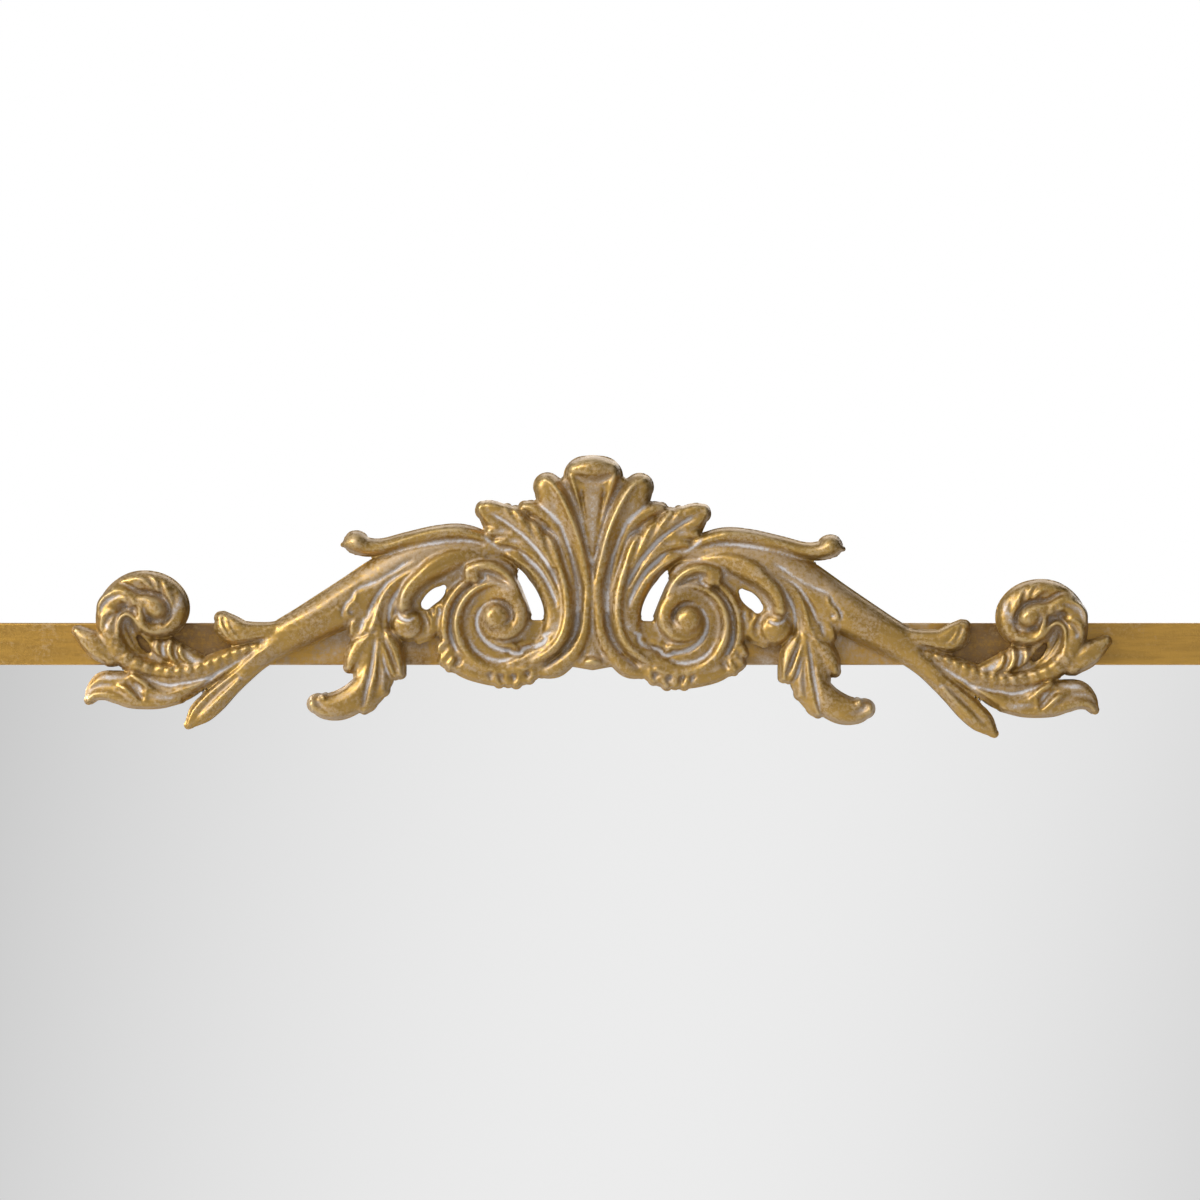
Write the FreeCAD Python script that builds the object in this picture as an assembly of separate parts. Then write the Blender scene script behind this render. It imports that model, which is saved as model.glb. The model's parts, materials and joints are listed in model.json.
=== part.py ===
"""Wall mirror: a thin gilt steel frame with mitred corners, a silvered pane and a cast acanthus crest.

Frame of reference: +X to the viewer's right, +Z up, the front faces -Y and the wall is the plane y = 0.
The origin is midway between the two wall hooks that the hanger rings hang on, on the wall plane.
All lengths are millimetres.
"""

import FreeCAD
import Part

import math
import os

from FreeCAD import Vector

# Driving sizes of the frame
frame_width = 610.0
frame_height = 840.0
frame_depth = 20.0
rail_face = 19.0
sheet = 1.5
rear_flange = 14.0
lip_return = 3.5
edge_round = 1.0
hook_line_below_top = 120.0

# Pane and backing
glass_thickness = 4.0
pane_edge_cover = 15.0
board_thickness = 3.0
arris = 0.6

# Corner keys and their screws
key_thickness = 2.0
key_width = 8.0
key_arm = 46.0
key_screw_place = 32.0
key_screw_radius = 2.0
key_screw_length = 5.0
screw_head_radius = 3.6
screw_head_height = 2.0
hole_clearance = 0.2
thread_clearance = 0.05

# Bowed spring clips that press the backing forward
clip_length = 42.0
clip_width = 6.0
clip_leaf = 0.6
clip_gap = 0.2
clips_per_rail = 2
clips_per_stile = 3
clip_end_margin = 150.0

# Wall bumpers
bumper_thickness = 5.0
bumper_radius = 6.0
bumper_face_radius = 5.0
bumper_corner_offset = 68.0

# Ring hangers
ring_wire_radius = 1.0
ring_running_gap = 0.1
ring_side_gap = 0.4
ring_reach = 17.0
strap_thickness = 1.0
strap_width = 8.0
strap_length = 30.0
hanger_screw_drop = 22.0
hanger_screw_radius = 1.6
hanger_screw_length = 5.5
hanger_head_radius = 2.8
hanger_head_height = 1.6

# Crest casting and its screws
crest_span = 468.0
crest_relief = 14.0
crest_web = 4.0
crest_screw_radius = 1.75
crest_screw_bite = 5.0
crest_screw_head_radius = 3.4
crest_screw_head_height = 1.7
crest_pilot_extra = 0.5

# Overrun that carries every cutting tool past the face it opens
overrun = 1.0

# Small rounds are drawn with flats: those of screws and their holes, of pads and of the rings' wire
SCREW_FLATS = 12
PAD_FLATS = 18
WIRE_FLATS = 8
RING_ARCH_STEPS = 6
RING_BEND_STEPS = 2

# Places that follow from the sizes above
Y_WALL = 0.0
Y_FRAME_BACK = Y_WALL - bumper_thickness
Y_FRAME_FRONT = Y_FRAME_BACK - frame_depth
Y_FLANGE_INNER = Y_FRAME_BACK - sheet
Y_FACE_INNER = Y_FRAME_FRONT + sheet
Y_GLASS_FRONT = Y_FRAME_FRONT + lip_return
Y_GLASS_BACK = Y_GLASS_FRONT + glass_thickness
Y_BOARD_BACK = Y_GLASS_BACK + board_thickness
Z_TOP = hook_line_below_top
Z_BOTTOM = Z_TOP - frame_height
Z_MIDDLE = (Z_TOP + Z_BOTTOM) / 2
X_RIGHT = frame_width / 2
X_LEFT = -X_RIGHT
FLANGE_LINE = rear_flange / 2

FORWARD = Vector(0, -1, 0)
BACKWARD = Vector(0, 1, 0)


def save(shape, name):
    """Writes one node's solids to parts/NAME.step."""
    shape.exportStep(os.path.join("parts", name + ".step"))


def fused(shapes):
    """One shape from several that overlap."""
    first, *rest = shapes
    return first.multiFuse(rest) if rest else first


def group(shapes):
    """Separate solids kept in one node."""
    return Part.makeCompound(shapes)


def block(low, high):
    """Box between two corners."""
    size = high.sub(low)
    return Part.makeBox(size.x, size.y, size.z, low)


def regular_outline(centre, radius, flats):
    """Closed outline with equal flats, its corners on a circle, square to Y."""
    points = []
    for i in range(flats):
        angle = 2 * math.pi * (i + 1 / 2) / flats
        points.append(centre + Vector(math.cos(angle), 0, math.sin(angle)) * radius)
    return Part.makePolygon(points + points[:1])


def bar_along_y(centre, radius, length):
    """Round bar drawn with flats that lie inside its radius; a negative length runs forward."""
    outline = regular_outline(centre, radius, SCREW_FLATS)
    return Part.Face(outline).extrude(BACKWARD * length)


def mirrored_x(shape):
    """The shape's reflection in the plane x = 0."""
    return shape.mirror(Vector(0, 0, 0), Vector(1, 0, 0))


def mirrored_z(shape):
    """The shape's reflection in the plane half way up the frame."""
    return shape.mirror(Vector(0, 0, Z_MIDDLE), Vector(0, 0, 1))


def both_sides(shapes):
    """The shapes and their reflections left to right, as one group."""
    return group(shapes + [mirrored_x(shape) for shape in shapes])


def all_corners(shapes):
    """The shapes of the top left corner repeated at all four corners, as one group."""
    upper = shapes + [mirrored_x(shape) for shape in shapes]
    return group(upper + [mirrored_z(shape) for shape in upper])


# Frame rails


def rail_profile():
    """Outline of the rail as (inward, y): face, outer wall, rear flange and a returned inner lip."""
    return [
        (0, Y_FRAME_BACK),
        (rear_flange, Y_FRAME_BACK),
        (rear_flange, Y_FLANGE_INNER),
        (sheet, Y_FLANGE_INNER),
        (sheet, Y_FACE_INNER),
        (rail_face - sheet, Y_FACE_INNER),
        (rail_face - sheet, Y_GLASS_FRONT),
        (rail_face, Y_GLASS_FRONT),
        (rail_face, Y_FRAME_FRONT),
        (0, Y_FRAME_FRONT),
    ]


def mitred_bar(length):
    """Bar along +X, centred on x = 0, with its outer edge at z = 0, its inner side below and both ends mitred."""
    half = length / 2
    points = [Vector(-half, y, -inward) for inward, y in rail_profile()]
    bar = Part.Face(Part.makePolygon(points + points[:1])).extrude(Vector(length, 0, 0))
    long_edges = [
        e
        for e in bar.Edges
        if e.BoundBox.XLength > length / 2
        and abs(e.BoundBox.YMin - Y_FRAME_FRONT) < sheet / 2
    ]
    bar = bar.makeFillet(edge_round, long_edges)
    y_low = Y_FRAME_FRONT - overrun
    y_span = frame_depth + 2 * overrun
    for side in (-1, 1):
        corner = Vector(side * half, y_low, 0)
        reach = rail_face + overrun
        waste = Part.makePolygon(
            [
                corner + Vector(side * overrun, 0, overrun),
                corner + Vector(-side * reach, 0, -reach),
                corner + Vector(side * overrun, 0, -reach),
                corner + Vector(side * overrun, 0, overrun),
            ]
        )
        bar = bar.cut(Part.Face(waste).extrude(Vector(0, y_span, 0)))
    return bar


def through_hole(x, z, radius, y_from, y_to):
    """Cutting tool for a round hole along Y, its flats outside the radius and an overrun at both ends."""
    start = min(y_from, y_to) - overrun
    outer_radius = radius / math.cos(math.pi / SCREW_FLATS)
    length = abs(y_to - y_from) + 2 * overrun
    return bar_along_y(Vector(x, start, z), outer_radius, length)


def flange_holes(length):
    """Clearance holes for the corner screws in a bar's rear flange."""
    radius = key_screw_radius + hole_clearance
    return [
        through_hole(
            side * (length / 2 - key_screw_place),
            -FLANGE_LINE,
            radius,
            Y_FLANGE_INNER,
            Y_FRAME_BACK,
        )
        for side in (-1, 1)
    ]


def make_top_rail():
    """Top rail, with the crest's screw holes in its face and driver notches in its flange behind them."""
    bar = mitred_bar(frame_width)
    for tool in flange_holes(frame_width):
        bar = bar.cut(tool)
    for x in crest_screw_places():
        face_hole = through_hole(
            x,
            -crest_screw_drop(),
            crest_screw_radius + hole_clearance,
            Y_FRAME_FRONT,
            Y_FACE_INNER,
        )
        notch_half = crest_screw_head_radius + hole_clearance
        driver_notch = block(
            Vector(x - notch_half, Y_FLANGE_INNER - overrun, -rear_flange - overrun),
            Vector(x + notch_half, Y_FRAME_BACK + overrun, notch_half - crest_screw_drop()),
        )
        bar = bar.cut(face_hole).cut(driver_notch)
    bar.translate(Vector(0, 0, Z_TOP))
    return bar


def make_bottom_rail():
    """Bottom rail: the same bar turned over."""
    bar = mitred_bar(frame_width)
    for tool in flange_holes(frame_width):
        bar = bar.cut(tool)
    bar.translate(Vector(0, 0, Z_TOP))
    return mirrored_z(bar)


def make_left_stile():
    """Left stile, with a hole in its flange for the hanger's screw."""
    bar = mitred_bar(frame_height)
    for tool in flange_holes(frame_height):
        bar = bar.cut(tool)
    bar.rotate(Vector(0, 0, 0), Vector(0, 1, 0), -90)
    bar.translate(Vector(X_LEFT, 0, Z_MIDDLE))
    screw_hole = through_hole(
        hanger_line_x(),
        hanger_screw_height(),
        hanger_screw_radius + hole_clearance,
        Y_FLANGE_INNER,
        Y_FRAME_BACK,
    )
    return bar.cut(screw_hole)


# Corner keys


def make_corner_key():
    """L-shaped plate inside the top left corner, against the flange, with a threaded hole in each arm."""
    outer = FLANGE_LINE - key_width / 2
    x0 = X_LEFT + outer
    z0 = Z_TOP - outer
    y0 = Y_FLANGE_INNER - key_thickness
    along = block(
        Vector(x0, y0, z0 - key_width), Vector(x0 + key_arm, Y_FLANGE_INNER, z0)
    )
    down = block(
        Vector(x0, y0, z0 - key_arm), Vector(x0 + key_width, Y_FLANGE_INNER, z0)
    )
    plate = along.fuse(down).removeSplitter()
    radius = key_screw_radius + thread_clearance
    for x, z in corner_screw_places():
        plate = plate.cut(through_hole(x, z, radius, y0, Y_FLANGE_INNER))
    return plate


def corner_screw_places():
    """(x, z) of the two screws at the top left corner."""
    return [
        (X_LEFT + key_screw_place, Z_TOP - FLANGE_LINE),
        (X_LEFT + FLANGE_LINE, Z_TOP - key_screw_place),
    ]


def headed_screw(x, z, y_seat, radius, length, head_radius, head_height):
    """Screw driven forward from its seat, with a low round head behind the seat."""
    seat = Vector(x, y_seat, z)
    shank = bar_along_y(seat, radius, -length)
    head = bar_along_y(seat, head_radius, head_height)
    return shank.fuse(head)


def make_corner_screws():
    """The screws of all four corners."""
    top_left = [
        headed_screw(
            x,
            z,
            Y_FRAME_BACK,
            key_screw_radius,
            key_screw_length,
            screw_head_radius,
            screw_head_height,
        )
        for x, z in corner_screw_places()
    ]
    return all_corners(top_left)


# Pane, backing and clips


def panel(y_front, y_back):
    """Rectangular sheet that reaches under the rails by the pane's edge cover."""
    inset = rail_face - pane_edge_cover
    return block(
        Vector(X_LEFT + inset, y_front, Z_BOTTOM + inset),
        Vector(X_RIGHT - inset, y_back, Z_TOP - inset),
    )


def make_mirror_glass():
    """Silvered float glass with eased edges, front against the rails' inner lip."""
    glass = panel(Y_GLASS_FRONT, Y_GLASS_BACK)
    long_edges = [e for e in glass.Edges if e.BoundBox.YLength < glass_thickness / 2]
    return glass.makeChamfer(arris, long_edges)


def make_backing_board():
    """Hardboard sheet behind the glass."""
    return panel(Y_GLASS_BACK, Y_BOARD_BACK)


def clip_leaf_shape():
    """Bowed leaf along X, centred on x = 0 and z = 0: its crown presses the board and its ends bear on the flange."""
    y_crown = Y_BOARD_BACK + clip_gap
    y_ends = Y_FLANGE_INNER - clip_gap
    half = clip_length / 2

    def bow(y_ends_at, y_crown_at, half_chord):
        return Part.Arc(
            Vector(-half_chord, y_ends_at, 0),
            Vector(0, y_crown_at, 0),
            Vector(half_chord, y_ends_at, 0),
        ).toShape()

    front = bow(y_ends - clip_leaf, y_crown, half)
    back = bow(y_ends, y_crown + clip_leaf, half)
    ends = [
        Part.makeLine(
            Vector(side * half, y_ends - clip_leaf, 0), Vector(side * half, y_ends, 0)
        )
        for side in (-1, 1)
    ]
    outline = Part.Wire(Part.__sortEdges__([front, back, *ends]))
    leaf = Part.Face(outline).extrude(Vector(0, 0, clip_width))
    leaf.translate(Vector(0, 0, -clip_width / 2))
    return leaf


def spread(count, length):
    """Places of clips along a bar, evenly spaced and clear of its corners."""
    usable = length - 2 * clip_end_margin
    return [-usable / 2 + usable * i / (count - 1) for i in range(count)]


def clip_line():
    """Distance of a clip's centre line from the frame's outer edge."""
    return (rail_face - pane_edge_cover + rear_flange) / 2


def make_top_clips():
    """Row of spring clips under the top rail's flange."""
    clips = []
    for x in spread(clips_per_rail, frame_width):
        leaf = clip_leaf_shape()
        leaf.translate(Vector(x, 0, Z_TOP - clip_line()))
        clips.append(leaf)
    return group(clips)


def make_left_clips():
    """Row of spring clips behind the left stile."""
    clips = []
    for z in spread(clips_per_stile, frame_height):
        leaf = clip_leaf_shape()
        leaf.rotate(Vector(0, 0, 0), Vector(0, 1, 0), 90)
        leaf.translate(Vector(X_LEFT + clip_line(), 0, Z_MIDDLE + z))
        clips.append(leaf)
    return group(clips)


# Bumpers


def make_wall_bumpers():
    """Four tapered rubber pads on the flanges, with their flat faces on the wall plane."""
    seat = Vector(X_LEFT + bumper_corner_offset, Y_FRAME_BACK, Z_TOP - FLANGE_LINE)
    face = seat + BACKWARD * bumper_thickness
    outlines = [
        regular_outline(seat, bumper_radius, PAD_FLATS),
        regular_outline(face, bumper_face_radius, PAD_FLATS),
    ]
    return all_corners([Part.makeLoft(outlines, True, True)])


# Ring hangers


def loop_outer_radius():
    """Radius of the strap's rolled loop around the ring's bar."""
    return ring_wire_radius + ring_running_gap + strap_thickness


def hanger_line_x():
    """X of the left hanger's centre line, along the middle of the flange."""
    return X_LEFT + FLANGE_LINE


def ring_pivot():
    """Centre of the left ring's bar."""
    return Vector(
        hanger_line_x(), Y_FRAME_BACK + loop_outer_radius(), -ring_reach + ring_wire_radius
    )


def hanger_screw_height():
    """Height of a hanger's screw, below its pivot."""
    return ring_pivot().z - hanger_screw_drop


def make_hanger_strap():
    """Brass strap flat on the flange, cropped at its foot and rolled round the ring's bar at its top."""
    pivot = ring_pivot()
    half = strap_width / 2
    crop = strap_width / 4
    foot_z = pivot.z - strap_length
    plan = [
        Vector(pivot.x - half, Y_FRAME_BACK, pivot.z),
        Vector(pivot.x + half, Y_FRAME_BACK, pivot.z),
        Vector(pivot.x + half, Y_FRAME_BACK, foot_z + crop),
        Vector(pivot.x + half - crop, Y_FRAME_BACK, foot_z),
        Vector(pivot.x - half + crop, Y_FRAME_BACK, foot_z),
        Vector(pivot.x - half, Y_FRAME_BACK, foot_z + crop),
    ]
    plate = Part.Face(Part.makePolygon(plan + plan[:1])).extrude(
        BACKWARD * strap_thickness
    )
    loop = Part.makeCylinder(
        loop_outer_radius(),
        strap_width,
        Vector(pivot.x - half, pivot.y, pivot.z),
        Vector(1, 0, 0),
    )
    bore = Part.makeCylinder(
        ring_wire_radius + ring_running_gap,
        strap_width + 2 * overrun,
        Vector(pivot.x - half - overrun, pivot.y, pivot.z),
        Vector(1, 0, 0),
    )
    screw_hole = through_hole(
        pivot.x,
        hanger_screw_height(),
        hanger_screw_radius + hole_clearance,
        Y_FRAME_BACK,
        Y_FRAME_BACK + strap_thickness,
    )
    return plate.fuse(loop).removeSplitter().cut(bore).cut(screw_hole)


def ring_path():
    """Points and headings round the ring's centre line, whose bar is straight as far as the strap is wide."""
    pivot = ring_pivot()
    bend = ring_side_gap + ring_wire_radius
    arm_x = strap_width / 2 + bend

    def arc(centre_x, centre_z, radius, from_degrees, to_degrees, steps):
        """Stations along an anticlockwise arc."""
        stations = []
        for i in range(steps + 1):
            angle = math.radians(from_degrees + (to_degrees - from_degrees) * i / steps)
            out = Vector(math.cos(angle), 0, math.sin(angle))
            centre = pivot + Vector(centre_x, 0, centre_z)
            stations.append((centre + out * radius, angle + math.pi / 2))
        return stations

    return (
        arc(arm_x - bend, bend, bend, -90, 0, RING_BEND_STEPS)
        + arc(0, ring_reach - arm_x, arm_x, 0, 180, RING_ARCH_STEPS)
        + arc(bend - arm_x, bend, bend, 180, 270, RING_BEND_STEPS)
    )


def make_hanger_ring():
    """D-shaped wire ring, standing up as on its hook, lofted round its centre line."""
    sections = []
    for centre, angle in ring_path():
        across = Vector(-math.sin(angle), 0, math.cos(angle))
        points = []
        for i in range(WIRE_FLATS):
            turn = 2 * math.pi * (i + 1 / 2) / WIRE_FLATS
            offset = across * math.cos(turn) + BACKWARD * math.sin(turn)
            points.append(centre + offset * ring_wire_radius)
        sections.append(Part.makePolygon(points + points[:1]))
    return Part.makeLoft(sections, True, True, True)


def make_hanger_screws():
    """The screw of each hanger."""
    screw = headed_screw(
        hanger_line_x(),
        hanger_screw_height(),
        Y_FRAME_BACK + strap_thickness,
        hanger_screw_radius,
        hanger_screw_length,
        hanger_head_radius,
        hanger_head_height,
    )
    return both_sides([screw])


# Crest

# The crest's plan is drawn on the photograph's pixel grid, its left half only
CREST_SPAN_PIXELS = 1035.0
CREST_AXIS_PIXEL = 592.5
RAIL_TOP_PIXEL = 623.0
CREST_SCALE = crest_span / CREST_SPAN_PIXELS
Y_CREST_BACK = Y_FRAME_FRONT

# Each row of a ridge is its centre line's pixel x and y, its half width in pixels and its height as a share
RIDGE_PIXELS_AND_SHARES = {
    "main_stem": (
        (505, 550, 8, 0.45),
        (478, 549, 16, 0.5),
        (440, 550, 23, 0.62),
        (398, 572, 24, 0.7),
        (350, 602, 23, 0.74),
        (308, 624, 19, 0.72),
        (278, 640, 17.5, 0.64),
        (254, 658, 11, 0.5),
        (236, 677, 9.5, 0.45),
        (216, 698, 10.5, 0.42),
        (202, 714, 7.5, 0.36),
        (191, 727, 2.5, 0.3),
    ),
    "bow": (
        (357, 544, 13, 0.8),
        (379, 549, 9.5, 0.66),
        (408, 543, 9, 0.62),
        (438, 535, 8.5, 0.66),
        (462, 533, 8.5, 0.66),
        (498, 546, 5, 0.5),
    ),
    "finger": (
        (478, 563, 9, 0.7),
        (453, 568, 13, 0.85),
        (431, 574, 12.5, 0.92),
        (413, 588, 11, 0.95),
        (404, 609, 8, 0.85),
    ),
    "hanging_leaf": (
        (430, 572, 9, 0.5),
        (408, 585, 15, 0.58),
        (388, 604, 20, 0.62),
        (375, 632, 23, 0.62),
        (371, 658, 24, 0.6),
        (365, 682, 21, 0.6),
        (352, 699, 15.5, 0.66),
        (332, 707, 13, 0.7),
        (315, 704, 9.5, 0.74),
    ),
    "leaf_lobe_upper": ((388, 636, 9, 0.58), (396, 656, 9, 0.58), (403, 675, 4, 0.42)),
    "leaf_lobe_middle": ((378, 655, 10, 0.5), (385, 676, 9, 0.52), (388, 693, 5, 0.42)),
    "leaf_lobe_lower": ((368, 678, 12, 0.5), (370, 698, 9, 0.5), (365, 710, 6, 0.42)),
    "leaf_flange": (
        (372, 588, 8, 0.5),
        (357, 605, 8.5, 0.5),
        (355, 628, 8.5, 0.46),
        (356, 648, 8, 0.5),
        (350, 664, 6, 0.5),
    ),
    "hood": (
        (470, 575, 8, 0.66),
        (478, 568, 9, 0.76),
        (494, 569, 9, 0.78),
        (508, 577, 8.5, 0.74),
        (518, 592, 7.5, 0.68),
        (525, 608, 6, 0.6),
    ),
    "volute_skirt": (
        (486, 566, 7, 0.45),
        (462, 575, 9.5, 0.5),
        (447, 598, 9.5, 0.4),
        (444, 630, 9, 0.38),
        (450, 653, 11.5, 0.42),
        (468, 669, 11.5, 0.42),
        (494, 677, 10.5, 0.42),
        (520, 678, 10.5, 0.45),
        (550, 669, 8.5, 0.4),
    ),
    "feather": (
        (484, 510, 9, 0.48),
        (494, 517, 15.5, 0.58),
        (511, 528, 19.5, 0.62),
        (532, 545, 23, 0.66),
        (549, 572, 20, 0.62),
        (559, 602, 16, 0.54),
        (561, 640, 10, 0.45),
    ),
    "inner_petal": (
        (548, 486, 13.5, 0.74),
        (556, 500, 15, 0.85),
        (570, 529, 11.5, 0.82),
        (583, 564, 8.5, 0.75),
        (588, 595, 7.5, 0.7),
        (588, 622, 8.5, 0.65),
        (583, 645, 9, 0.6),
        (569, 664, 9, 0.55),
        (546, 675, 5, 0.4),
    ),
    "outer_petal": (
        (529, 511, 9, 0.5),
        (541, 524, 12.5, 0.6),
        (556, 548, 13, 0.66),
        (570, 580, 10, 0.58),
        (577, 622, 7, 0.4),
    ),
    "end_coil": (
        (262, 646, 9, 0.5),
        (238, 653, 8.5, 0.5),
        (206, 666, 9.5, 0.5),
        (172, 672, 10, 0.54),
        (138, 664, 11.5, 0.6),
        (116, 643, 12.5, 0.68),
        (111.5, 617, 13.5, 0.72),
        (122, 595, 14, 0.76),
        (145, 585, 13.8, 0.8),
        (167, 590, 13.2, 0.78),
        (178, 606, 12.4, 0.74),
        (171, 623, 12, 0.68),
        (152, 626, 9, 0.64),
    ),
    "left_leaf": ((79, 632, 6, 0.4), (94, 638, 9, 0.52), (118, 658, 9, 0.45)),
    "fish_tail": (
        (92, 701, 4, 0.32),
        (104, 689, 13, 0.44),
        (130, 689, 18, 0.5),
        (164, 689, 18, 0.5),
        (196, 681, 14.5, 0.47),
        (232, 662, 9.5, 0.45),
        (260, 650, 8, 0.45),
    ),
    "flutes": ((158, 637, 6, 0.42), (172, 649, 11, 0.5), (212, 660, 8, 0.45)),
    "curl_leaf": (
        (223, 617, 8, 0.46),
        (228, 628, 10.5, 0.58),
        (241, 633, 11.5, 0.64),
        (284, 632, 8, 0.54),
    ),
}

# Centre pixel x and y, half width and half height in pixels, and height share of each round boss
BOSS_PIXELS_AND_SHARES = {
    "ball": (408, 629, 17.5, 16.5, 0.62),
    "volute_eye": (497.5, 617, 16, 16, 0.94),
    "volute_ground": (484, 624, 44, 46, 0.32),
    "end_eye": (154, 607, 15, 13, 0.95),
    "end_ground": (146, 606, 40, 33, 0.45),
}
CENTRE_BOSS_PIXELS_AND_SHARES = {
    "knob": (592.5, 471.5, 28.5, 15.5, 1.0),
    "bead": (592.5, 663, 13, 8, 0.5),
}
KNOB_STALK_PIXELS_AND_SHARES = (
    (592.5, 486, 21, 0.62),
    (592.5, 510, 13.5, 0.54),
    (592.5, 545, 7.5, 0.47),
    (592.5, 568, 4, 0.42),
)
SHELL_GROUND_PIXELS = (
    (592.5, 480),
    (575, 480),
    (552, 500),
    (528, 520),
    (516, 545),
    (548, 600),
    (575, 662),
    (592.5, 662),
)

# The large volute is a logarithmic spiral that winds inwards from its upper right
VOLUTE_CENTRE_PIXELS = (500.0, 617.0)
VOLUTE_RADIUS_PIXELS = 70.0
VOLUTE_TIGHTENING = 0.14
VOLUTE_START_TURN_SHARE = -0.1
VOLUTE_END_TURN_SHARE = 1.35
VOLUTE_STATIONS = 18
VOLUTE_EDGE_PIXELS = 4.0
VOLUTE_BREADTH_SHARE = 0.12
VOLUTE_OUTER_HEIGHT_SHARE = 0.62
VOLUTE_INNER_HEIGHT_SHARE = 0.82

# A ridge's outline as shares of its half width and height: steep sides, then two slopes to its arris
RIDGE_OUTLINE_SHARES = ((1.0, 0.0), (0.87, 0.52), (0.0, 1.0), (-0.87, 0.52), (-1.0, 0.0))
BOSS_SIDES = 12
BOSS_RING_SHARES = ((1.0, 0.0), (0.86, 0.55), (0.5, 0.9), (0.12, 1.0))
END_REACH_SHARE = 0.75


def crest_point(x_pixel, y_pixel):
    """Point on the crest's flat back under a pixel of its plan."""
    return Vector(
        (x_pixel - CREST_AXIS_PIXEL) * CREST_SCALE,
        Y_CREST_BACK,
        Z_TOP - (y_pixel - RAIL_TOP_PIXEL) * CREST_SCALE,
    )


def ridge_section(centre, across, half_width, height):
    """Closed outline square to a ridge, whose foot lies an overrun behind the casting's back."""

    def at(side_share, rise):
        return centre + across * (half_width * side_share) + FORWARD * rise

    foot = [at(-1, -overrun), at(1, -overrun)]
    crown = [at(side, rise * height) for side, rise in RIDGE_OUTLINE_SHARES[1:-1]]
    points = foot + crown
    return Part.makePolygon(points + points[:1])


def ridge(rows):
    """Carved ridge lofted through its sections, with both ends drawn in and rounded off."""
    centres = [crest_point(x, y) for x, y, _, _ in rows]
    spine = Part.BSplineCurve()
    spine.interpolate(centres)
    sections = []
    for centre, (_, _, half_pixels, height_share) in zip(centres, rows):
        tangent = spine.tangent(spine.parameter(centre))[0]
        half_width = half_pixels * CREST_SCALE
        sections.append((centre, tangent, half_width, height_share * crest_relief))

    def end_section(section, outward):
        centre, tangent, half_width, height = section
        shrink = math.sqrt(1 - END_REACH_SHARE**2)
        reach = tangent * (outward * END_REACH_SHARE * half_width)
        return (centre + reach, tangent, half_width * shrink, height * shrink)

    sections = [
        end_section(sections[0], -1),
        *sections,
        end_section(sections[-1], 1),
    ]
    wires = []
    for centre, tangent, half_width, height in sections:
        across = tangent.cross(FORWARD).normalize()
        wires.append(ridge_section(centre, across, half_width, height))
    return Part.makeLoft(wires, True, True)


def boss(row):
    """Rounded boss on an oval plan, lofted through rings that draw in as they rise."""
    x, y, half_x, half_y, height_share = row
    centre = crest_point(x, y)
    height = height_share * crest_relief
    rings = []
    for scale, rise_share in BOSS_RING_SHARES:
        rise = rise_share * height if rise_share else -overrun
        points = []
        for i in range(BOSS_SIDES):
            angle = 2 * math.pi * i / BOSS_SIDES
            points.append(
                centre
                + Vector(
                    half_x * CREST_SCALE * scale * math.cos(angle),
                    -rise,
                    half_y * CREST_SCALE * scale * math.sin(angle),
                )
            )
        rings.append(Part.makePolygon(points + points[:1]))
    return Part.makeLoft(rings, True, True)


def volute_rows():
    """Rows of the large volute's ridge, from the logarithmic spiral."""
    centre_x, centre_y = VOLUTE_CENTRE_PIXELS
    rows = []
    for i in range(VOLUTE_STATIONS):
        along = i / (VOLUTE_STATIONS - 1)
        turn = VOLUTE_START_TURN_SHARE + along * (
            VOLUTE_END_TURN_SHARE - VOLUTE_START_TURN_SHARE
        )
        angle = 2 * math.pi * turn
        radius = VOLUTE_RADIUS_PIXELS * math.exp(-VOLUTE_TIGHTENING * angle)
        height_share = VOLUTE_OUTER_HEIGHT_SHARE + along * (
            VOLUTE_INNER_HEIGHT_SHARE - VOLUTE_OUTER_HEIGHT_SHARE
        )
        rows.append(
            (
                centre_x + radius * math.cos(angle),
                centre_y + radius * math.sin(angle),
                VOLUTE_EDGE_PIXELS + VOLUTE_BREADTH_SHARE * radius,
                height_share,
            )
        )
    return rows


def shell_ground():
    """Flat web behind the left half of the shell."""
    foot = BACKWARD * overrun
    points = [crest_point(x, y) + foot for x, y in SHELL_GROUND_PIXELS]
    face = Part.Face(Part.makePolygon(points + points[:1]))
    return face.extrude(FORWARD * (crest_web + overrun))


def make_crest():
    """One casting with a flat back: scrolls, leaves and shell, with pilot holes for its screws."""
    pieces = [ridge(rows) for rows in RIDGE_PIXELS_AND_SHARES.values()]
    pieces.append(ridge(volute_rows()))
    pieces += [boss(row) for row in BOSS_PIXELS_AND_SHARES.values()]
    pieces.append(shell_ground())
    left = fused(pieces)
    centre = [boss(row) for row in CENTRE_BOSS_PIXELS_AND_SHARES.values()]
    centre.append(ridge(KNOB_STALK_PIXELS_AND_SHARES))
    crest = fused([left, mirrored_x(left), *centre])
    low = crest.BoundBox
    behind = block(
        Vector(low.XMin - overrun, Y_CREST_BACK, low.ZMin - overrun),
        Vector(low.XMax + overrun, low.YMax + overrun, low.ZMax + overrun),
    )
    crest = crest.cut(behind)
    pilot_depth = crest_screw_bite + crest_pilot_extra - overrun
    for x in crest_screw_places():
        pilot = through_hole(
            x,
            Z_TOP - crest_screw_drop(),
            crest_screw_radius + thread_clearance,
            Y_CREST_BACK,
            Y_CREST_BACK - pilot_depth,
        )
        crest = crest.cut(pilot)
    return crest


def crest_screw_drop():
    """Depth of the crest screws below the frame's top edge: the middle of the rail's flange."""
    return FLANGE_LINE


def crest_screw_places():
    """X of the crest's screws, at the end scrolls and the volutes."""
    half = crest_span / 2
    screw_shares = (-0.92, -0.262, 0.262, 0.92)
    return [share * half for share in screw_shares]


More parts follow.
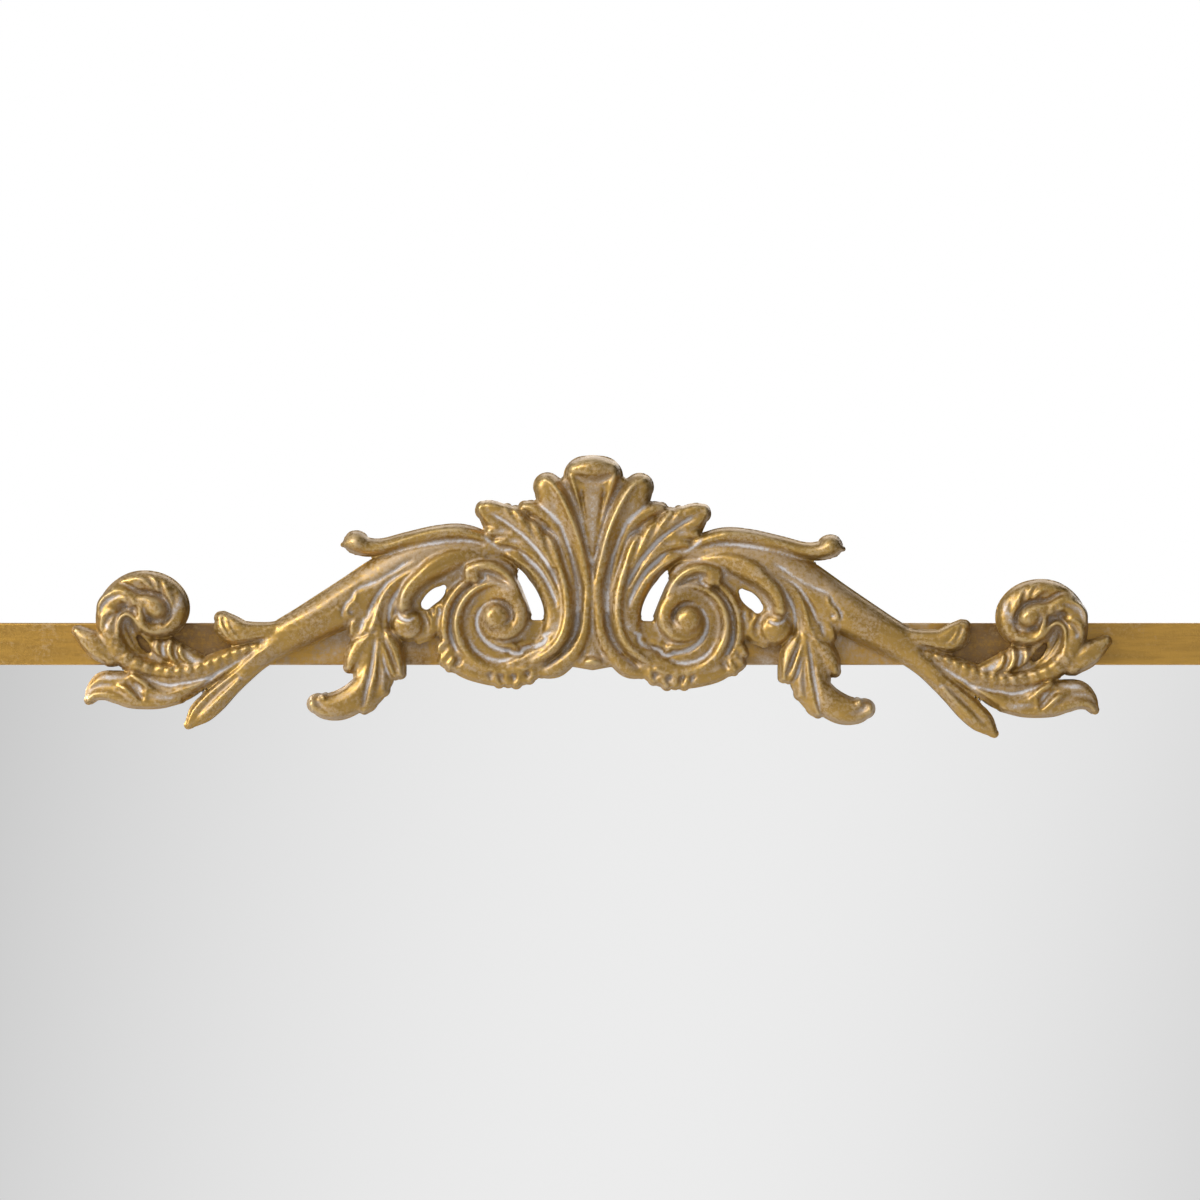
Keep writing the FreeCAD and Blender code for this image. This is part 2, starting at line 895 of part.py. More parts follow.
def make_crest_screws():
    """Screws driven forward through the top rail's face into the crest."""
    return group(
        [
            headed_screw(
                x,
                Z_TOP - crest_screw_drop(),
                Y_FACE_INNER,
                crest_screw_radius,
                sheet + crest_screw_bite,
                crest_screw_head_radius,
                crest_screw_head_height,
            )
            for x in crest_screw_places()
        ]
    )


def main():
    """Builds every node and writes its STEP file."""
    os.makedirs("parts", exist_ok=True)
    save(make_top_rail(), "top_rail")
    save(make_bottom_rail(), "bottom_rail")
    stile = make_left_stile()
    save(stile, "left_stile")
    save(mirrored_x(stile), "right_stile")
    key = make_corner_key()
    save(key, "corner_key_top_left")
    save(mirrored_x(key), "corner_key_top_right")
    save(mirrored_z(key), "corner_key_bottom_left")
    save(mirrored_x(mirrored_z(key)), "corner_key_bottom_right")
    save(make_corner_screws(), "corner_screws")
    save(make_mirror_glass(), "mirror_glass")
    save(make_backing_board(), "backing_board")
    top_clips = make_top_clips()
    left_clips = make_left_clips()
    save(top_clips, "spring_clips_top")
    save(mirrored_z(top_clips), "spring_clips_bottom")
    save(left_clips, "spring_clips_left")
    save(mirrored_x(left_clips), "spring_clips_right")
    save(make_wall_bumpers(), "wall_bumpers")
    strap = make_hanger_strap()
    save(strap, "hanger_strap_left")
    save(mirrored_x(strap), "hanger_strap_right")
    ring = make_hanger_ring()
    save(ring, "hanger_ring_left")
    save(mirrored_x(ring), "hanger_ring_right")
    save(make_hanger_screws(), "hanger_screws")
    save(make_crest(), "crest_casting")
    save(make_crest_screws(), "crest_screws")


main()
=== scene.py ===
"""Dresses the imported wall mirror: carved crest, gilt rails, silvered pane and the fittings on its back.

All lengths are metres in the frame's own axes: +X to the viewer's right, +Z up, the front faces -Y.
The crest is carved as one height over its plan, laid stroke by stroke on the photograph's pixel grid.
"""

import json
import logging
import math
from dataclasses import dataclass, field
from enum import Enum
from typing import Callable, Iterable, Optional, Sequence, Union

import bmesh
import bpy
import numpy as np
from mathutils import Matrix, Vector
from mathutils.geometry import delaunay_2d_cdt


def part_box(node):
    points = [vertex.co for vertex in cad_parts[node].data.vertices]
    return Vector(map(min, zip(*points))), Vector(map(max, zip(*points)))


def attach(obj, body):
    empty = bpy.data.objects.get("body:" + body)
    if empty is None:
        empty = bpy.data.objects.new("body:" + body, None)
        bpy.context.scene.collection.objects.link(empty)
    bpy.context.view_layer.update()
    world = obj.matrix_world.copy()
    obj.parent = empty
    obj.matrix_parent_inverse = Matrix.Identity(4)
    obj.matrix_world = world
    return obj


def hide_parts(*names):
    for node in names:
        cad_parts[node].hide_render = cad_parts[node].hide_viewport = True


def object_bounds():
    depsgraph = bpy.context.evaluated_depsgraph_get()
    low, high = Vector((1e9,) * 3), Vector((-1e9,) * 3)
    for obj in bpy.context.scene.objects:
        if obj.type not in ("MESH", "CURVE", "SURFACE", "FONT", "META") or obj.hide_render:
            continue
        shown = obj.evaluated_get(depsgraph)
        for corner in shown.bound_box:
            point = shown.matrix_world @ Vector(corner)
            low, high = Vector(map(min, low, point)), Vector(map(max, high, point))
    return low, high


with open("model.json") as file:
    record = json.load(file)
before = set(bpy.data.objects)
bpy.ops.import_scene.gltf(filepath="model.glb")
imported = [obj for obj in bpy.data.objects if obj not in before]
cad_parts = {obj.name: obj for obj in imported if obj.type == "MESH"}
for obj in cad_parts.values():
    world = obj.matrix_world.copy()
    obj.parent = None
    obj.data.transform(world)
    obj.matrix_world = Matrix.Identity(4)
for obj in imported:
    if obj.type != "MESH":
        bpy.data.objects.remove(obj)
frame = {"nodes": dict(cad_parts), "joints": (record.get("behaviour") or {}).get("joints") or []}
CAD_BOX = [list(corner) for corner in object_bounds()]

log = logging.getLogger("wall_mirror")
MILLIMETRE = 0.001
TINY = 1e-6

Array = np.ndarray
Colour = tuple[float, float, float]
Row = tuple[float, float, float, float]


class Body(Enum):
    """The bodies that pieces ride on."""

    MIRROR = "mirror"
    LEFT_RING = "left_ring"
    RIGHT_RING = "right_ring"


class Slot(Enum):
    """The record's material slots that go with new pieces; their finishes are built under the same names."""

    CREST = "crest_gilt"
    BRASS = "hanger_brass"
    STEEL = "screw_steel"
    RUBBER = "bumper_rubber"


class Side(Enum):
    """The two stiles that carry a hanger, as the nodes are named."""

    LEFT = "left"
    RIGHT = "right"


class Gilding(Enum):
    """The two kinds of gilt surface: the carved crest and the folded rails."""

    CARVED = "carved"
    FOLDED = "folded"


# Plan of the crest


@dataclass(frozen=True)
class CrestPlan:
    """The photograph's pixel grid laid on the frame: it carries plan pixels to metres."""

    span_pixels: float = 1035.0
    axis_pixel: float = 592.5
    rail_top_pixel: float = 623.0

    @property
    def scale(self) -> float:
        """Metres to a pixel, from the casting's own width."""
        low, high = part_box("crest_casting")
        return (high.x - low.x) / self.span_pixels

    @property
    def back(self) -> float:
        """Y of the casting's flat back, which bears on the top rail's face."""
        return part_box("top_rail")[0].y

    @property
    def relief(self) -> float:
        """Height of the casting above its back."""
        return self.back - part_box("crest_casting")[0].y

    @property
    def rail_top(self) -> float:
        """Z of the top rail's upper edge."""
        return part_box("top_rail")[1].z

    def to_metres(self, x: Array, y: Array) -> tuple[Array, Array]:
        """Carries plan pixels to X and Z.

        Args:
            x: Pixel columns.
            y: Pixel rows, downwards.

        Returns:
            X and Z in metres.
        """
        return (x - self.axis_pixel) * self.scale, self.rail_top - (y - self.rail_top_pixel) * self.scale


# Meshes


def new_piece(name: str, points: Array, faces: Sequence, body: Body, slot: Slot) -> bpy.types.Object:
    """Makes a smoothly shaded mesh piece that rides on a body.

    Args:
        name: The piece's name.
        points: Places of its vertices, one row each.
        faces: Vertex numbers of each face, as an array or a list of lists.
        body: The CAD body that it rides on.
        slot: The record's material slot that goes with it; not used.

    Returns:
        The new object.
    """
    mesh = bpy.data.meshes.new(name)
    mesh.from_pydata(points.tolist(), [], faces.tolist() if isinstance(faces, np.ndarray) else faces)
    mesh.validate()
    mesh.update()
    mesh.shade_smooth()
    piece = bpy.data.objects.new(name, mesh)
    bpy.context.scene.collection.objects.link(piece)
    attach(piece, body.value)
    return piece


def grid_faces(rows: int, columns: int, closed_rows: bool = False, closed_columns: bool = False) -> Array:
    """Quads that join a grid of vertices numbered row by row.

    Args:
        rows: Number of rows.
        columns: Number of columns.
        closed_rows: Whether the last row joins the first.
        closed_columns: Whether the last column joins the first.

    Returns:
        An array of four vertex numbers to a face.
    """
    i = np.arange(rows if closed_rows else rows - 1)[:, None]
    j = np.arange(columns if closed_columns else columns - 1)[None, :]
    i_next, j_next = (i + 1) % rows, (j + 1) % columns
    corners = (i * columns + j, i * columns + j_next, i_next * columns + j_next, i_next * columns + j)
    return np.stack([corner.ravel() for corner in np.broadcast_arrays(*corners)], 1)


def joined(parts: Iterable[tuple[Array, Sequence]]) -> tuple[Array, list]:
    """Joins several sets of points and faces into one.

    Args:
        parts: Pairs of points and faces.

    Returns:
        All points and all faces, renumbered.
    """
    points, faces, start = [], [], 0
    for part_points, part_faces in parts:
        points.append(part_points)
        faces += [[int(v) + start for v in face] for face in part_faces]
        start += len(part_points)
    return np.vstack(points), faces


def tube_faces(rows: int, sides: int) -> list:
    """Quads round a tube, with one face across each end.

    Args:
        rows: Rows of points along the tube.
        sides: Points in each row.

    Returns:
        The faces, as lists of vertex numbers.
    """
    last = (rows - 1) * sides
    ends = [list(range(sides))[::-1], list(range(last, last + sides))]
    return grid_faces(rows, sides, closed_columns=True).tolist() + ends


def turned_points(profile: Array, centre: Vector, sides: int) -> Array:
    """Points of a surface of revolution about a line along Y.

    The point at share t of a turn is centre + (r cos t, y, r sin t).

    Args:
        profile: Rows of (radius, y), from the front end to the back end.
        centre: The axis at y = 0.
        sides: Number of steps round.

    Returns:
        The points, row by row of the profile.
    """
    angle = np.linspace(0, 2 * np.pi, sides, endpoint=False)
    r, y = profile[:, :1], profile[:, 1:]
    x = centre.x + r * np.cos(angle)
    z = centre.z + r * np.sin(angle)
    return np.stack([x, np.broadcast_to(centre.y + y, x.shape), z], -1).reshape(-1, 3)


def put_in_place(piece: bpy.types.Object, material: bpy.types.Material, node: str) -> bpy.types.Object:
    """Finishes a closed piece: merges doubled vertices, turns its faces outwards and puts it for its CAD node.

    Args:
        piece: A closed mesh piece.
        material: Its material.
        node: The CAD node that it replaces.

    Returns:
        The same piece.
    """
    mesh = bmesh.new()
    mesh.from_mesh(piece.data)
    bmesh.ops.remove_doubles(mesh, verts=mesh.verts, dist=TINY)
    bmesh.ops.recalc_face_normals(mesh, faces=mesh.faces)
    mesh.to_mesh(piece.data)
    mesh.free()
    dress(piece, material)
    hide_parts(node)
    return piece


# Shader maths


Term = Union["Value", float]
MIX_SHARE, MIX_FIRST, MIX_SECOND, MIX_RESULT = 0, 6, 7, 2  # a Mix node's sockets for colours


def maths(operation: str) -> Callable[..., "Value"]:
    """Makes a method that adds one kind of Math node.

    Args:
        operation: The node's operation.

    Returns:
        The method.
    """
    def method(value: "Value", *others: Term) -> "Value":
        """Adds the node on the value and the other operands."""
        operands = dict(enumerate((value, *others)))
        return value.shader.node("ShaderNodeMath", {"operation": operation}, operands)
    return method


class Value:
    """A shader socket that can be used in sums: an expression on values adds its Math nodes."""

    def __init__(self, shader: "Shader", socket: bpy.types.NodeSocket) -> None:
        """Wraps an output socket of a shader's node tree."""
        self.shader = shader
        self.socket = socket

    __add__ = __radd__ = maths("ADD")
    __sub__ = maths("SUBTRACT")
    __mul__ = __rmul__ = maths("MULTIPLY")
    __abs__ = maths("ABSOLUTE")
    least = maths("MINIMUM")
    most = maths("MAXIMUM")

    def __rsub__(self, other: float) -> "Value":
        """Difference, reflected."""
        return self * -1.0 + other

    def between(self, low: float, high: float) -> "Value":
        """Smooth step.

        Args:
            low: Where it starts from 0.
            high: Where it reaches 1; one below low turns the step over.

        Returns:
            The step, from 0 to 1.
        """
        if high < low:
            return 1.0 - self.between(high, low)
        settings = {"interpolation_type": "SMOOTHSTEP"}
        return self.shader.node("ShaderNodeMapRange", settings, dict(enumerate((self, low, high, 0.0, 1.0))))


class Shader:
    """One material's or world's node tree, emptied and built up by node()."""

    def __init__(self, owner: Union[bpy.types.Material, bpy.types.World]) -> None:
        """Clears the owner's nodes and keeps its tree.

        Args:
            owner: The material or world.
        """
        owner.use_nodes = True
        self.tree = owner.node_tree
        self.tree.nodes.clear()

    def node(
        self, kind: str, settings: Optional[dict] = None, inputs: Optional[dict] = None,
        output: Union[int, str] = 0,
    ) -> Value:
        """Adds any node.

        Args:
            kind: The node's type.
            settings: Its own settings, set first.
            inputs: Values or links of its sockets, by number or name.
            output: The output socket that is handed back.

        Returns:
            The chosen output.
        """
        node = self.tree.nodes.new(kind)
        for name, setting in (settings or {}).items():
            setattr(node, name, setting)
        for name, value in (inputs or {}).items():
            if isinstance(value, Value):
                self.tree.links.new(value.socket, node.inputs[name])
            else:
                node.inputs[name].default_value = value
        return Value(self, node.outputs[output])

    def place(self, axis: int) -> Value:
        """One coordinate of the point in the object's own axes, in millimetres."""
        coordinates = self.node("ShaderNodeTexCoord", output="Object")
        return self.node("ShaderNodeSeparateXYZ", {}, {0: coordinates}, axis) * (1 / MILLIMETRE)

    def stretched(self, x: float, y: float, z: float) -> Value:
        """Object coordinates times a share along each axis, in metres."""
        coordinates = self.node("ShaderNodeTexCoord", output="Object")
        return self.node("ShaderNodeVectorMath", {"operation": "MULTIPLY"}, {0: coordinates, 1: (x, y, z)})

    def noise(
        self, size: float, detail: float = 3.0, roughness: float = 0.55, stretch: Sequence[float] = (1, 1, 1),
        distortion: float = 0.0,
    ) -> Value:
        """Noise from 0 to 1 on object coordinates.

        Args:
            size: Size of its largest blots, in metres.
            detail: Octaves.
            roughness: How strong the finer octaves are.
            stretch: How much the pattern is squeezed along each axis.
            distortion: How far it is bent.

        Returns:
            The noise.
        """
        inputs = {"Vector": self.stretched(*stretch), "Scale": 1.0 / size, "Detail": detail}
        inputs.update({"Roughness": roughness, "Distortion": distortion})
        return self.node("ShaderNodeTexNoise", {}, inputs)

    def attribute(self, name: str) -> Value:
        """A number kept on the mesh's vertices."""
        return self.node("ShaderNodeAttribute", {"attribute_name": name}, {}, "Fac")

    def mixed(self, share: Term, first: Union[Value, Colour], second: Union[Value, Colour]) -> Value:
        """Blend of two colours.

        Args:
            share: How much of the second there is, from 0 to 1.
            first: The colour at share 0.
            second: The colour at share 1.

        Returns:
            The blended colour.
        """
        first, second = (c if isinstance(c, Value) else (*c, 1.0) for c in (first, second))
        inputs = {MIX_SHARE: share, MIX_FIRST: first, MIX_SECOND: second}
        return self.node("ShaderNodeMix", {"data_type": "RGBA"}, inputs, MIX_RESULT)

    def bump(self, height: Value, distance: float, strength: float = 1.0) -> Value:
        """Normal bent by a height.

        Args:
            height: Height from 0 to 1.
            distance: Depth that a height of 1 stands for, in metres.
            strength: Share of it that is used.

        Returns:
            The normal.
        """
        return self.node("ShaderNodeBump", {}, {"Height": height, "Distance": distance, "Strength": strength})

    def surface(self, **sockets: Union[Value, float, Colour]) -> None:
        """Ends the tree in a Principled shader.

        Args:
            sockets: Values of its sockets by name, with underscores for spaces.
        """
        inputs = {}
        for name, value in sockets.items():
            is_colour = isinstance(value, tuple) and len(value) == 3
            inputs[name.replace("_", " ")] = (*value, 1.0) if is_colour else value
        shader = self.node("ShaderNodeBsdfPrincipled", {}, inputs)
        self.node_output("ShaderNodeOutputMaterial", shader)

    def node_output(self, kind: str, shader: Value) -> None:
        """Links a shader to the tree's output node."""
        output = self.tree.nodes.new(kind)
        self.tree.links.new(shader.socket, output.inputs["Surface"])


def srgb(red: int, green: int, blue: int) -> Colour:
    """Linear colour of an 8-bit one, by the standard screen curve.

    Args:
        red: Red, from 0 to 255.
        green: Green.
        blue: Blue.

    Returns:
        The three linear shares.
    """
    def linear(channel: int) -> float:
        """Linear share of one channel."""
        share = channel / 255
        return share / 12.92 if share <= 0.04045 else ((share + 0.055) / 1.055) ** 2.4
    return (linear(red), linear(green), linear(blue))


def new_material(name: str) -> tuple[bpy.types.Material, Shader]:
    """An empty material and its shader tree."""
    material = bpy.data.materials.new(name)
    return material, Shader(material)


def dress(piece: bpy.types.Object, material: bpy.types.Material) -> None:
    """Gives a piece one material in place of any it has."""
    piece.data.materials.clear()
    piece.data.materials.append(material)


# Finishes


@dataclass(frozen=True)
class WearAndShade:
    """How a gilt surface is worn and where shade is painted on it, each a share over the surface.

    Attributes:
        mauve: Thin grey wash that dulls the gold.
        chalk: Thick pale wash.
        rub: Gold that is rubbed bright.
        varnish_and_shade: Gold that old varnish has darkened, plus painted shade on the crest's slopes and the
            rail.
    """

    mauve: Value
    chalk: Value
    rub: Value
    varnish_and_shade: Value


@dataclass(frozen=True)
class GiltFinish:
    """Antique gold, rubbed bright where proud, darkened by umber and painted shade, with chalky wash in the
    hollows.

    Attributes:
        speck, blot, streak, dot: Sizes of the marks in it, in metres.
        grain_depth: Depth of the paint's grain.
        varnish: Weight of the clear coat where no wash covers it.
    """

    name: str
    gold: Colour = srgb(160, 126, 60)
    rubbed: Colour = srgb(212, 188, 134)
    umber_and_shade: Colour = srgb(94, 64, 30)
    mauve: Colour = srgb(163, 140, 110)
    chalk: Colour = srgb(190, 187, 187)
    gilding: Gilding = Gilding.CARVED
    speck: float = 0.0016
    blot: float = 0.011
    streak: float = 0.004
    dot: float = 0.0012
    grain_depth: float = 0.00006
    varnish: float = 0.2

    def carved_wear_and_shade(self, s: Shader, fine: Value, blots: Value) -> WearAndShade:
        """Wear and painted shade of the carved crest, by the attributes wash, crown and steep that its mesh keeps.

        Args:
            s: The material's shader tree.
            fine: Fine specks.
            blots: Larger blots.

        Returns:
            The wear and painted shade.
        """
        wash, crown, steep = (s.attribute(name) for name in ("wash", "crown", "steep"))
        ragged = (fine - 0.5) * 0.6 + (blots - 0.5) * 0.35
        dots = s.noise(self.dot, detail=1.0, roughness=0.6).between(0.46, 0.6)
        dotted = (wash + ragged * 0.3).between(0.3, 0.66) * dots * 0.6
        return WearAndShade(
            mauve=(wash * 1.2 + 0.27 + ragged).between(0.12, 0.8) * 0.85 * (1.0 - dots * 0.25),
            chalk=((wash + ragged * 0.5).between(0.5, 0.9) * 0.9).most(dotted),
            rub=(crown * 0.8 + ragged * 0.7).between(0.15, 0.8) * 0.5,
            # steep darkens the relief's slopes toward umber: painted shade
            varnish_and_shade=(blots * 0.6 + (1 - fine) * 0.4).between(0.35, 0.95) * 0.3 + steep * 0.12,
        )

    def folded_wear_and_shade(self, s: Shader, fine: Value, blots: Value) -> WearAndShade:
        """Wear and painted shadow of the rails by place, in millimetres: the top rail's face is dull near the
        crest and has painted shadow beside it.

        Args:
            s: The material's shader tree.
            fine: Fine specks.
            blots: Larger blots.

        Returns:
            The wear and painted shadow.
        """
        rail_foot, rail_face, near_reach = (98.0, 101.0), (-23.4, -24.4), (262.0, 150.0)
        leaf_start, leaf_end = (150.0, 164.0), (213.0, 205.0)
        volute_start, volute_end = (70.0, 78.0), (98.0, 90.0)
        streaks = s.noise(self.streak, detail=4.0, roughness=0.65, stretch=(0.12, 1, 1))
        side = abs(s.place(0))
        front = s.place(2).between(*rail_foot) * s.place(1).between(*rail_face)
        # painted shadow of the crest on the rail's face, beside the end scroll and its leaves
        behind = side.between(*leaf_end) * side.between(*leaf_start) * front
        # painted shadow under the crest, between the hanging leaf and the volute
        under = side.between(*volute_end) * side.between(*volute_start) * front
        near_crest = side.between(*near_reach) * front
        worn = (blots - 0.5) * 0.3 + (streaks - 0.5) * 0.6 + (fine - 0.5) * 0.22 + near_crest * 0.34
        # behind and under are painted shadow: they darken the face toward umber and thin its washes
        return WearAndShade(
            mauve=worn.between(0.12, 0.5) * 0.75 * (1.0 - behind * 0.8),
            chalk=worn.between(0.4, 0.7) * 0.4 * near_crest * (1.0 - behind),
            rub=(streaks * 0.6 + fine * 0.15 + 0.12).between(0.5, 0.7) * 0.35,
            varnish_and_shade=streaks.between(0.35, 0.7) * 0.4 + behind * (0.5 + fine * 0.3) + under * 0.5,
        )

    def material(self) -> bpy.types.Material:
        """Builds the material: umber and painted shade, rubbed gold and two washes, laid over each other in this
        order.

        Returns:
            The gilt material.
        """
        material, s = new_material(self.name)
        fine = s.noise(self.speck, detail=4.0, roughness=0.7).between(0.34, 0.66)
        blots = s.noise(self.blot, detail=3.0).between(0.3, 0.7)
        worn = {Gilding.CARVED: self.carved_wear_and_shade, Gilding.FOLDED: self.folded_wear_and_shade}[self.gilding](s, fine, blots)
        # umber here stands both for darkened varnish and for painted shade
        aged_and_shaded = s.mixed(worn.varnish_and_shade.least(1.0), self.gold, self.umber_and_shade)
        bright = s.mixed(worn.rub, aged_and_shaded, self.rubbed)
        washed = s.mixed(worn.mauve, bright, self.mauve)
        cover = (worn.mauve * 0.65).most(worn.chalk)
        grain = fine * 0.6 + s.noise(self.speck * 0.45, detail=2.0) * 0.4
        s.surface(
            Base_Color=s.mixed(worn.chalk, washed, self.chalk),
            Metallic=0.7 - cover * 0.68,
            Roughness=0.37 + cover * 0.31 + (fine - 0.5) * 0.08,
            Normal=s.bump(grain, self.grain_depth, 0.8),
            Coat_Weight=(1.0 - cover) * self.varnish,
            Coat_Roughness=0.24,
        )
        return material


# Carving of the crest


def sampled(rows: Sequence[Row], spacing: float = 0.4) -> Array:
    """Carries rows through a centripetal Catmull-Rom curve.

    Between two rows p1 and p2 the point is the cubic (2t^3 - 3t^2 + 1) p1 + (t^3 - 2t^2 + t) m1 +
    (3t^2 - 2t^3) p2 + (t^3 - t^2) m2, its slopes m weighed by the roots of the distances between rows.

    Args:
        rows: Rows of (x, y, half width, height in hundredths).
        spacing: Distance between samples, in pixels.

    Returns:
        The sampled rows, with the height as a share.
    """
    points = np.asarray(rows, float) / (1, 1, 1, 100)
    if len(points) == 2:
        count = max(2, int(np.hypot(*(points[1, :2] - points[0, :2])) / spacing))
        share = np.linspace(0, 1, count)[:, None]
        return points[0] * (1 - share) + points[1] * share
    step = np.sqrt(np.hypot(*np.diff(points[:, :2], axis=0).T)) + TINY
    wider = np.vstack([2 * points[0] - points[1], points, 2 * points[-1] - points[-2]])
    step = np.concatenate([step[:1], step, step[-1:]])
    pieces = []
    for i in range(len(points) - 1):
        p0, p1, p2, p3 = wider[i:i + 4]
        a, b, c = step[i:i + 3]
        m1 = ((p1 - p0) / a - (p2 - p0) / (a + b) + (p2 - p1) / b) * b
        m2 = ((p2 - p1) / b - (p3 - p1) / (b + c) + (p3 - p2) / c) * b
        t = np.linspace(0, 1, max(2, int(np.hypot(*(p2 - p1)[:2]) / spacing)), endpoint=False)[:, None]
        first, second = (2 * t**3 - 3 * t**2 + 1) * p1, (t**3 - 2 * t**2 + t) * m1
        pieces.append(first + second + (3 * t**2 - 2 * t**3) * p2 + (t**3 - t**2) * m2)
    return np.vstack([*pieces, points[-1:]])


def eased(low: float, high: float, values: Array) -> Array:
    """Smooth step 3 t^2 - 2 t^3 from 0 at low to 1 at high."""
    share = np.clip((values - low) / (high - low), 0, 1)
    return share * share * (3 - 2 * share)


def blurred(values: Array, width: float) -> Array:
    """Blurs a grid with a Gaussian bell in both directions.

    Args:
        values: The grid.
        width: Standard deviation, in grid steps.

    Returns:
        The blurred grid.
    """
    reach = max(1, int(3 * width))
    offsets = np.arange(-reach, reach + 1)
    weights = np.exp(-0.5 * (offsets / width) ** 2)
    weights /= weights.sum()
    for axis in (0, 1):
        edges = [(reach, reach) if a == axis else (0, 0) for a in (0, 1)]
        wide = np.pad(values, edges, mode="edge")
        size = values.shape[axis]
        windows = [np.take(wide, range(i, i + size), axis) * w for i, w in enumerate(weights)]
        values = np.sum(windows, axis=0)
    return values


def share_across(distance: Array, half: Array) -> Array:
    """Distance from a stroke's line as a share of its half width, 1 at its edge and beyond."""
    return np.clip(distance / np.maximum(half, 0.3), 0, 1)


class CrestCarving:
    """The left half of the crest as strokes on the plan: a height share and a reach at every plan place.

    The reach is the distance inside the silhouette: half width less distance from the stroke's line, the greatest
    over all strokes. A row of a stroke reads (column, row, half width, height in hundredths of the relief).
    """

    far_outside = -60.0
    edge_margin = 4.0
    places_at_once = 6000
    full_wash_depth = 12

    def __init__(self, x: Array, y: Array) -> None:
        """Starts with nothing carved.

        Args:
            x: Columns of the plan places, in pixels.
            y: Their rows.
        """
        self.x = x.astype(np.float32)
        self.y = y.astype(np.float32)
        self.height = np.zeros_like(self.x)
        self.reach = np.full_like(self.x, self.far_outside)
        self.wiped = np.zeros_like(self.x)

    def near(self, line: Array, margin: float) -> tuple[Array, Array, Array, Array]:
        """Finds the places near a sampled line.

        Args:
            line: The sampled line.
            margin: How far off it still counts.

        Returns:
            Which places, their distance, the side of the line (-1 or 1) and the nearest sample.
        """
        line = line.astype(np.float32)
        low, high = line[:, :2].min(0) - margin, line[:, :2].max(0) + margin
        within = (self.x > low[0]) & (self.x < high[0]) & (self.y > low[1]) & (self.y < high[1])
        chosen = np.flatnonzero(within)
        nearest = np.empty(len(chosen), int)
        distance = np.empty(len(chosen), np.float32)
        for start in range(0, len(chosen), self.places_at_once):
            part = slice(start, start + self.places_at_once)
            off_x = self.x[chosen[part], None] - line[None, :, 0]
            off_y = self.y[chosen[part], None] - line[None, :, 1]
            square = off_x**2 + off_y**2
            nearest[part] = square.argmin(1)
            distance[part] = np.sqrt(square.min(1))
        heading = np.gradient(line[:, :2], axis=0)[nearest]
        off_x, off_y = self.x[chosen] - line[nearest, 0], self.y[chosen] - line[nearest, 1]
        return chosen, distance, np.sign(heading[:, 0] * off_y - heading[:, 1] * off_x), nearest

    def join(self, chosen: Array, height: Array, reach: Array, soft: float = 0.02) -> None:
        """Takes the smooth greatest of what stands and a new form.

        Args:
            chosen: The places concerned.
            height: The new form's height share.
            reach: The new form's reach.
            soft: Width of the blend, as a height share.
        """
        old = self.height[chosen]
        share = np.clip(0.5 + 0.5 * (height - old) / soft, 0, 1)
        new = old + (height - old) * share + soft * share * (1 - share)
        self.height[chosen] = np.where(reach > 0, np.maximum(new, old), old)
        self.reach[chosen] = np.maximum(self.reach[chosen], reach)
        self.wiped[chosen] *= np.where(reach > 0, 1 - share, 1)

    def ridge(self, *rows: Row, full: float = 2.0, lean: float = 0.0) -> None:
        """Lays a rounded ridge: its height times the root of (1 - |u|^full), u the distance over the half width.

        Args:
            rows: The ridge's rows.
            full: How square its section is.
            lean: How far its crown leans to one side.
        """
        line = sampled(rows)
        chosen, distance, side, nearest = self.near(line, line[:, 2].max() + self.edge_margin)
        half = line[nearest, 2].astype(np.float32)
        u = share_across(distance, half)
        if lean:
            u = u * side
            u = np.abs(u - lean * (1 - u * u))
        crown = np.sqrt(np.clip(1 - np.clip(u, 0, 1) ** full, 0, 1))
        self.join(chosen, line[nearest, 3].astype(np.float32) * crown, half - distance)

    def add(self, *rows: Row, sign: float = 1.0) -> None:
        """Raises a line: its height times (1 - u^2)^2 on top of what stands.

        Args:
            rows: The line's rows.
            sign: 1 to raise, -1 to sink.
        """
        line = sampled(rows)
        chosen, distance, _, nearest = self.near(line, line[:, 2].max())
        u = share_across(distance, line[nearest, 2])
        self.height[chosen] += (sign * line[nearest, 3] * (1 - u * u) ** 2).astype(np.float32)

    def groove(self, *rows: Row, pale: float = 0.85) -> None:
        """Sinks a line and leaves wash in it, the more the deeper it is.

        Args:
            rows: The line's rows.
            pale: Amount of wash at full depth.
        """
        self.add(*rows, sign=-1.0)
        if pale:
            full = self.full_wash_depth
            self.wash(*((x, y, half * 0.9, 100 * pale * min(1, depth / full)) for x, y, half, depth in rows))

    def wash(self, *rows: Row) -> None:
        """Leaves wash along a line: its amount times (1 - u^3), u the distance over the half width.

        Args:
            rows: The line's rows; their last number is the amount, in hundredths, instead of a height.
        """
        line = sampled(rows)
        chosen, distance, _, nearest = self.near(line, line[:, 2].max())
        u = share_across(distance, line[nearest, 2])
        amount = (line[nearest, 3] * (1 - u**3)).astype(np.float32)
        self.wiped[chosen] = np.maximum(self.wiped[chosen], amount)

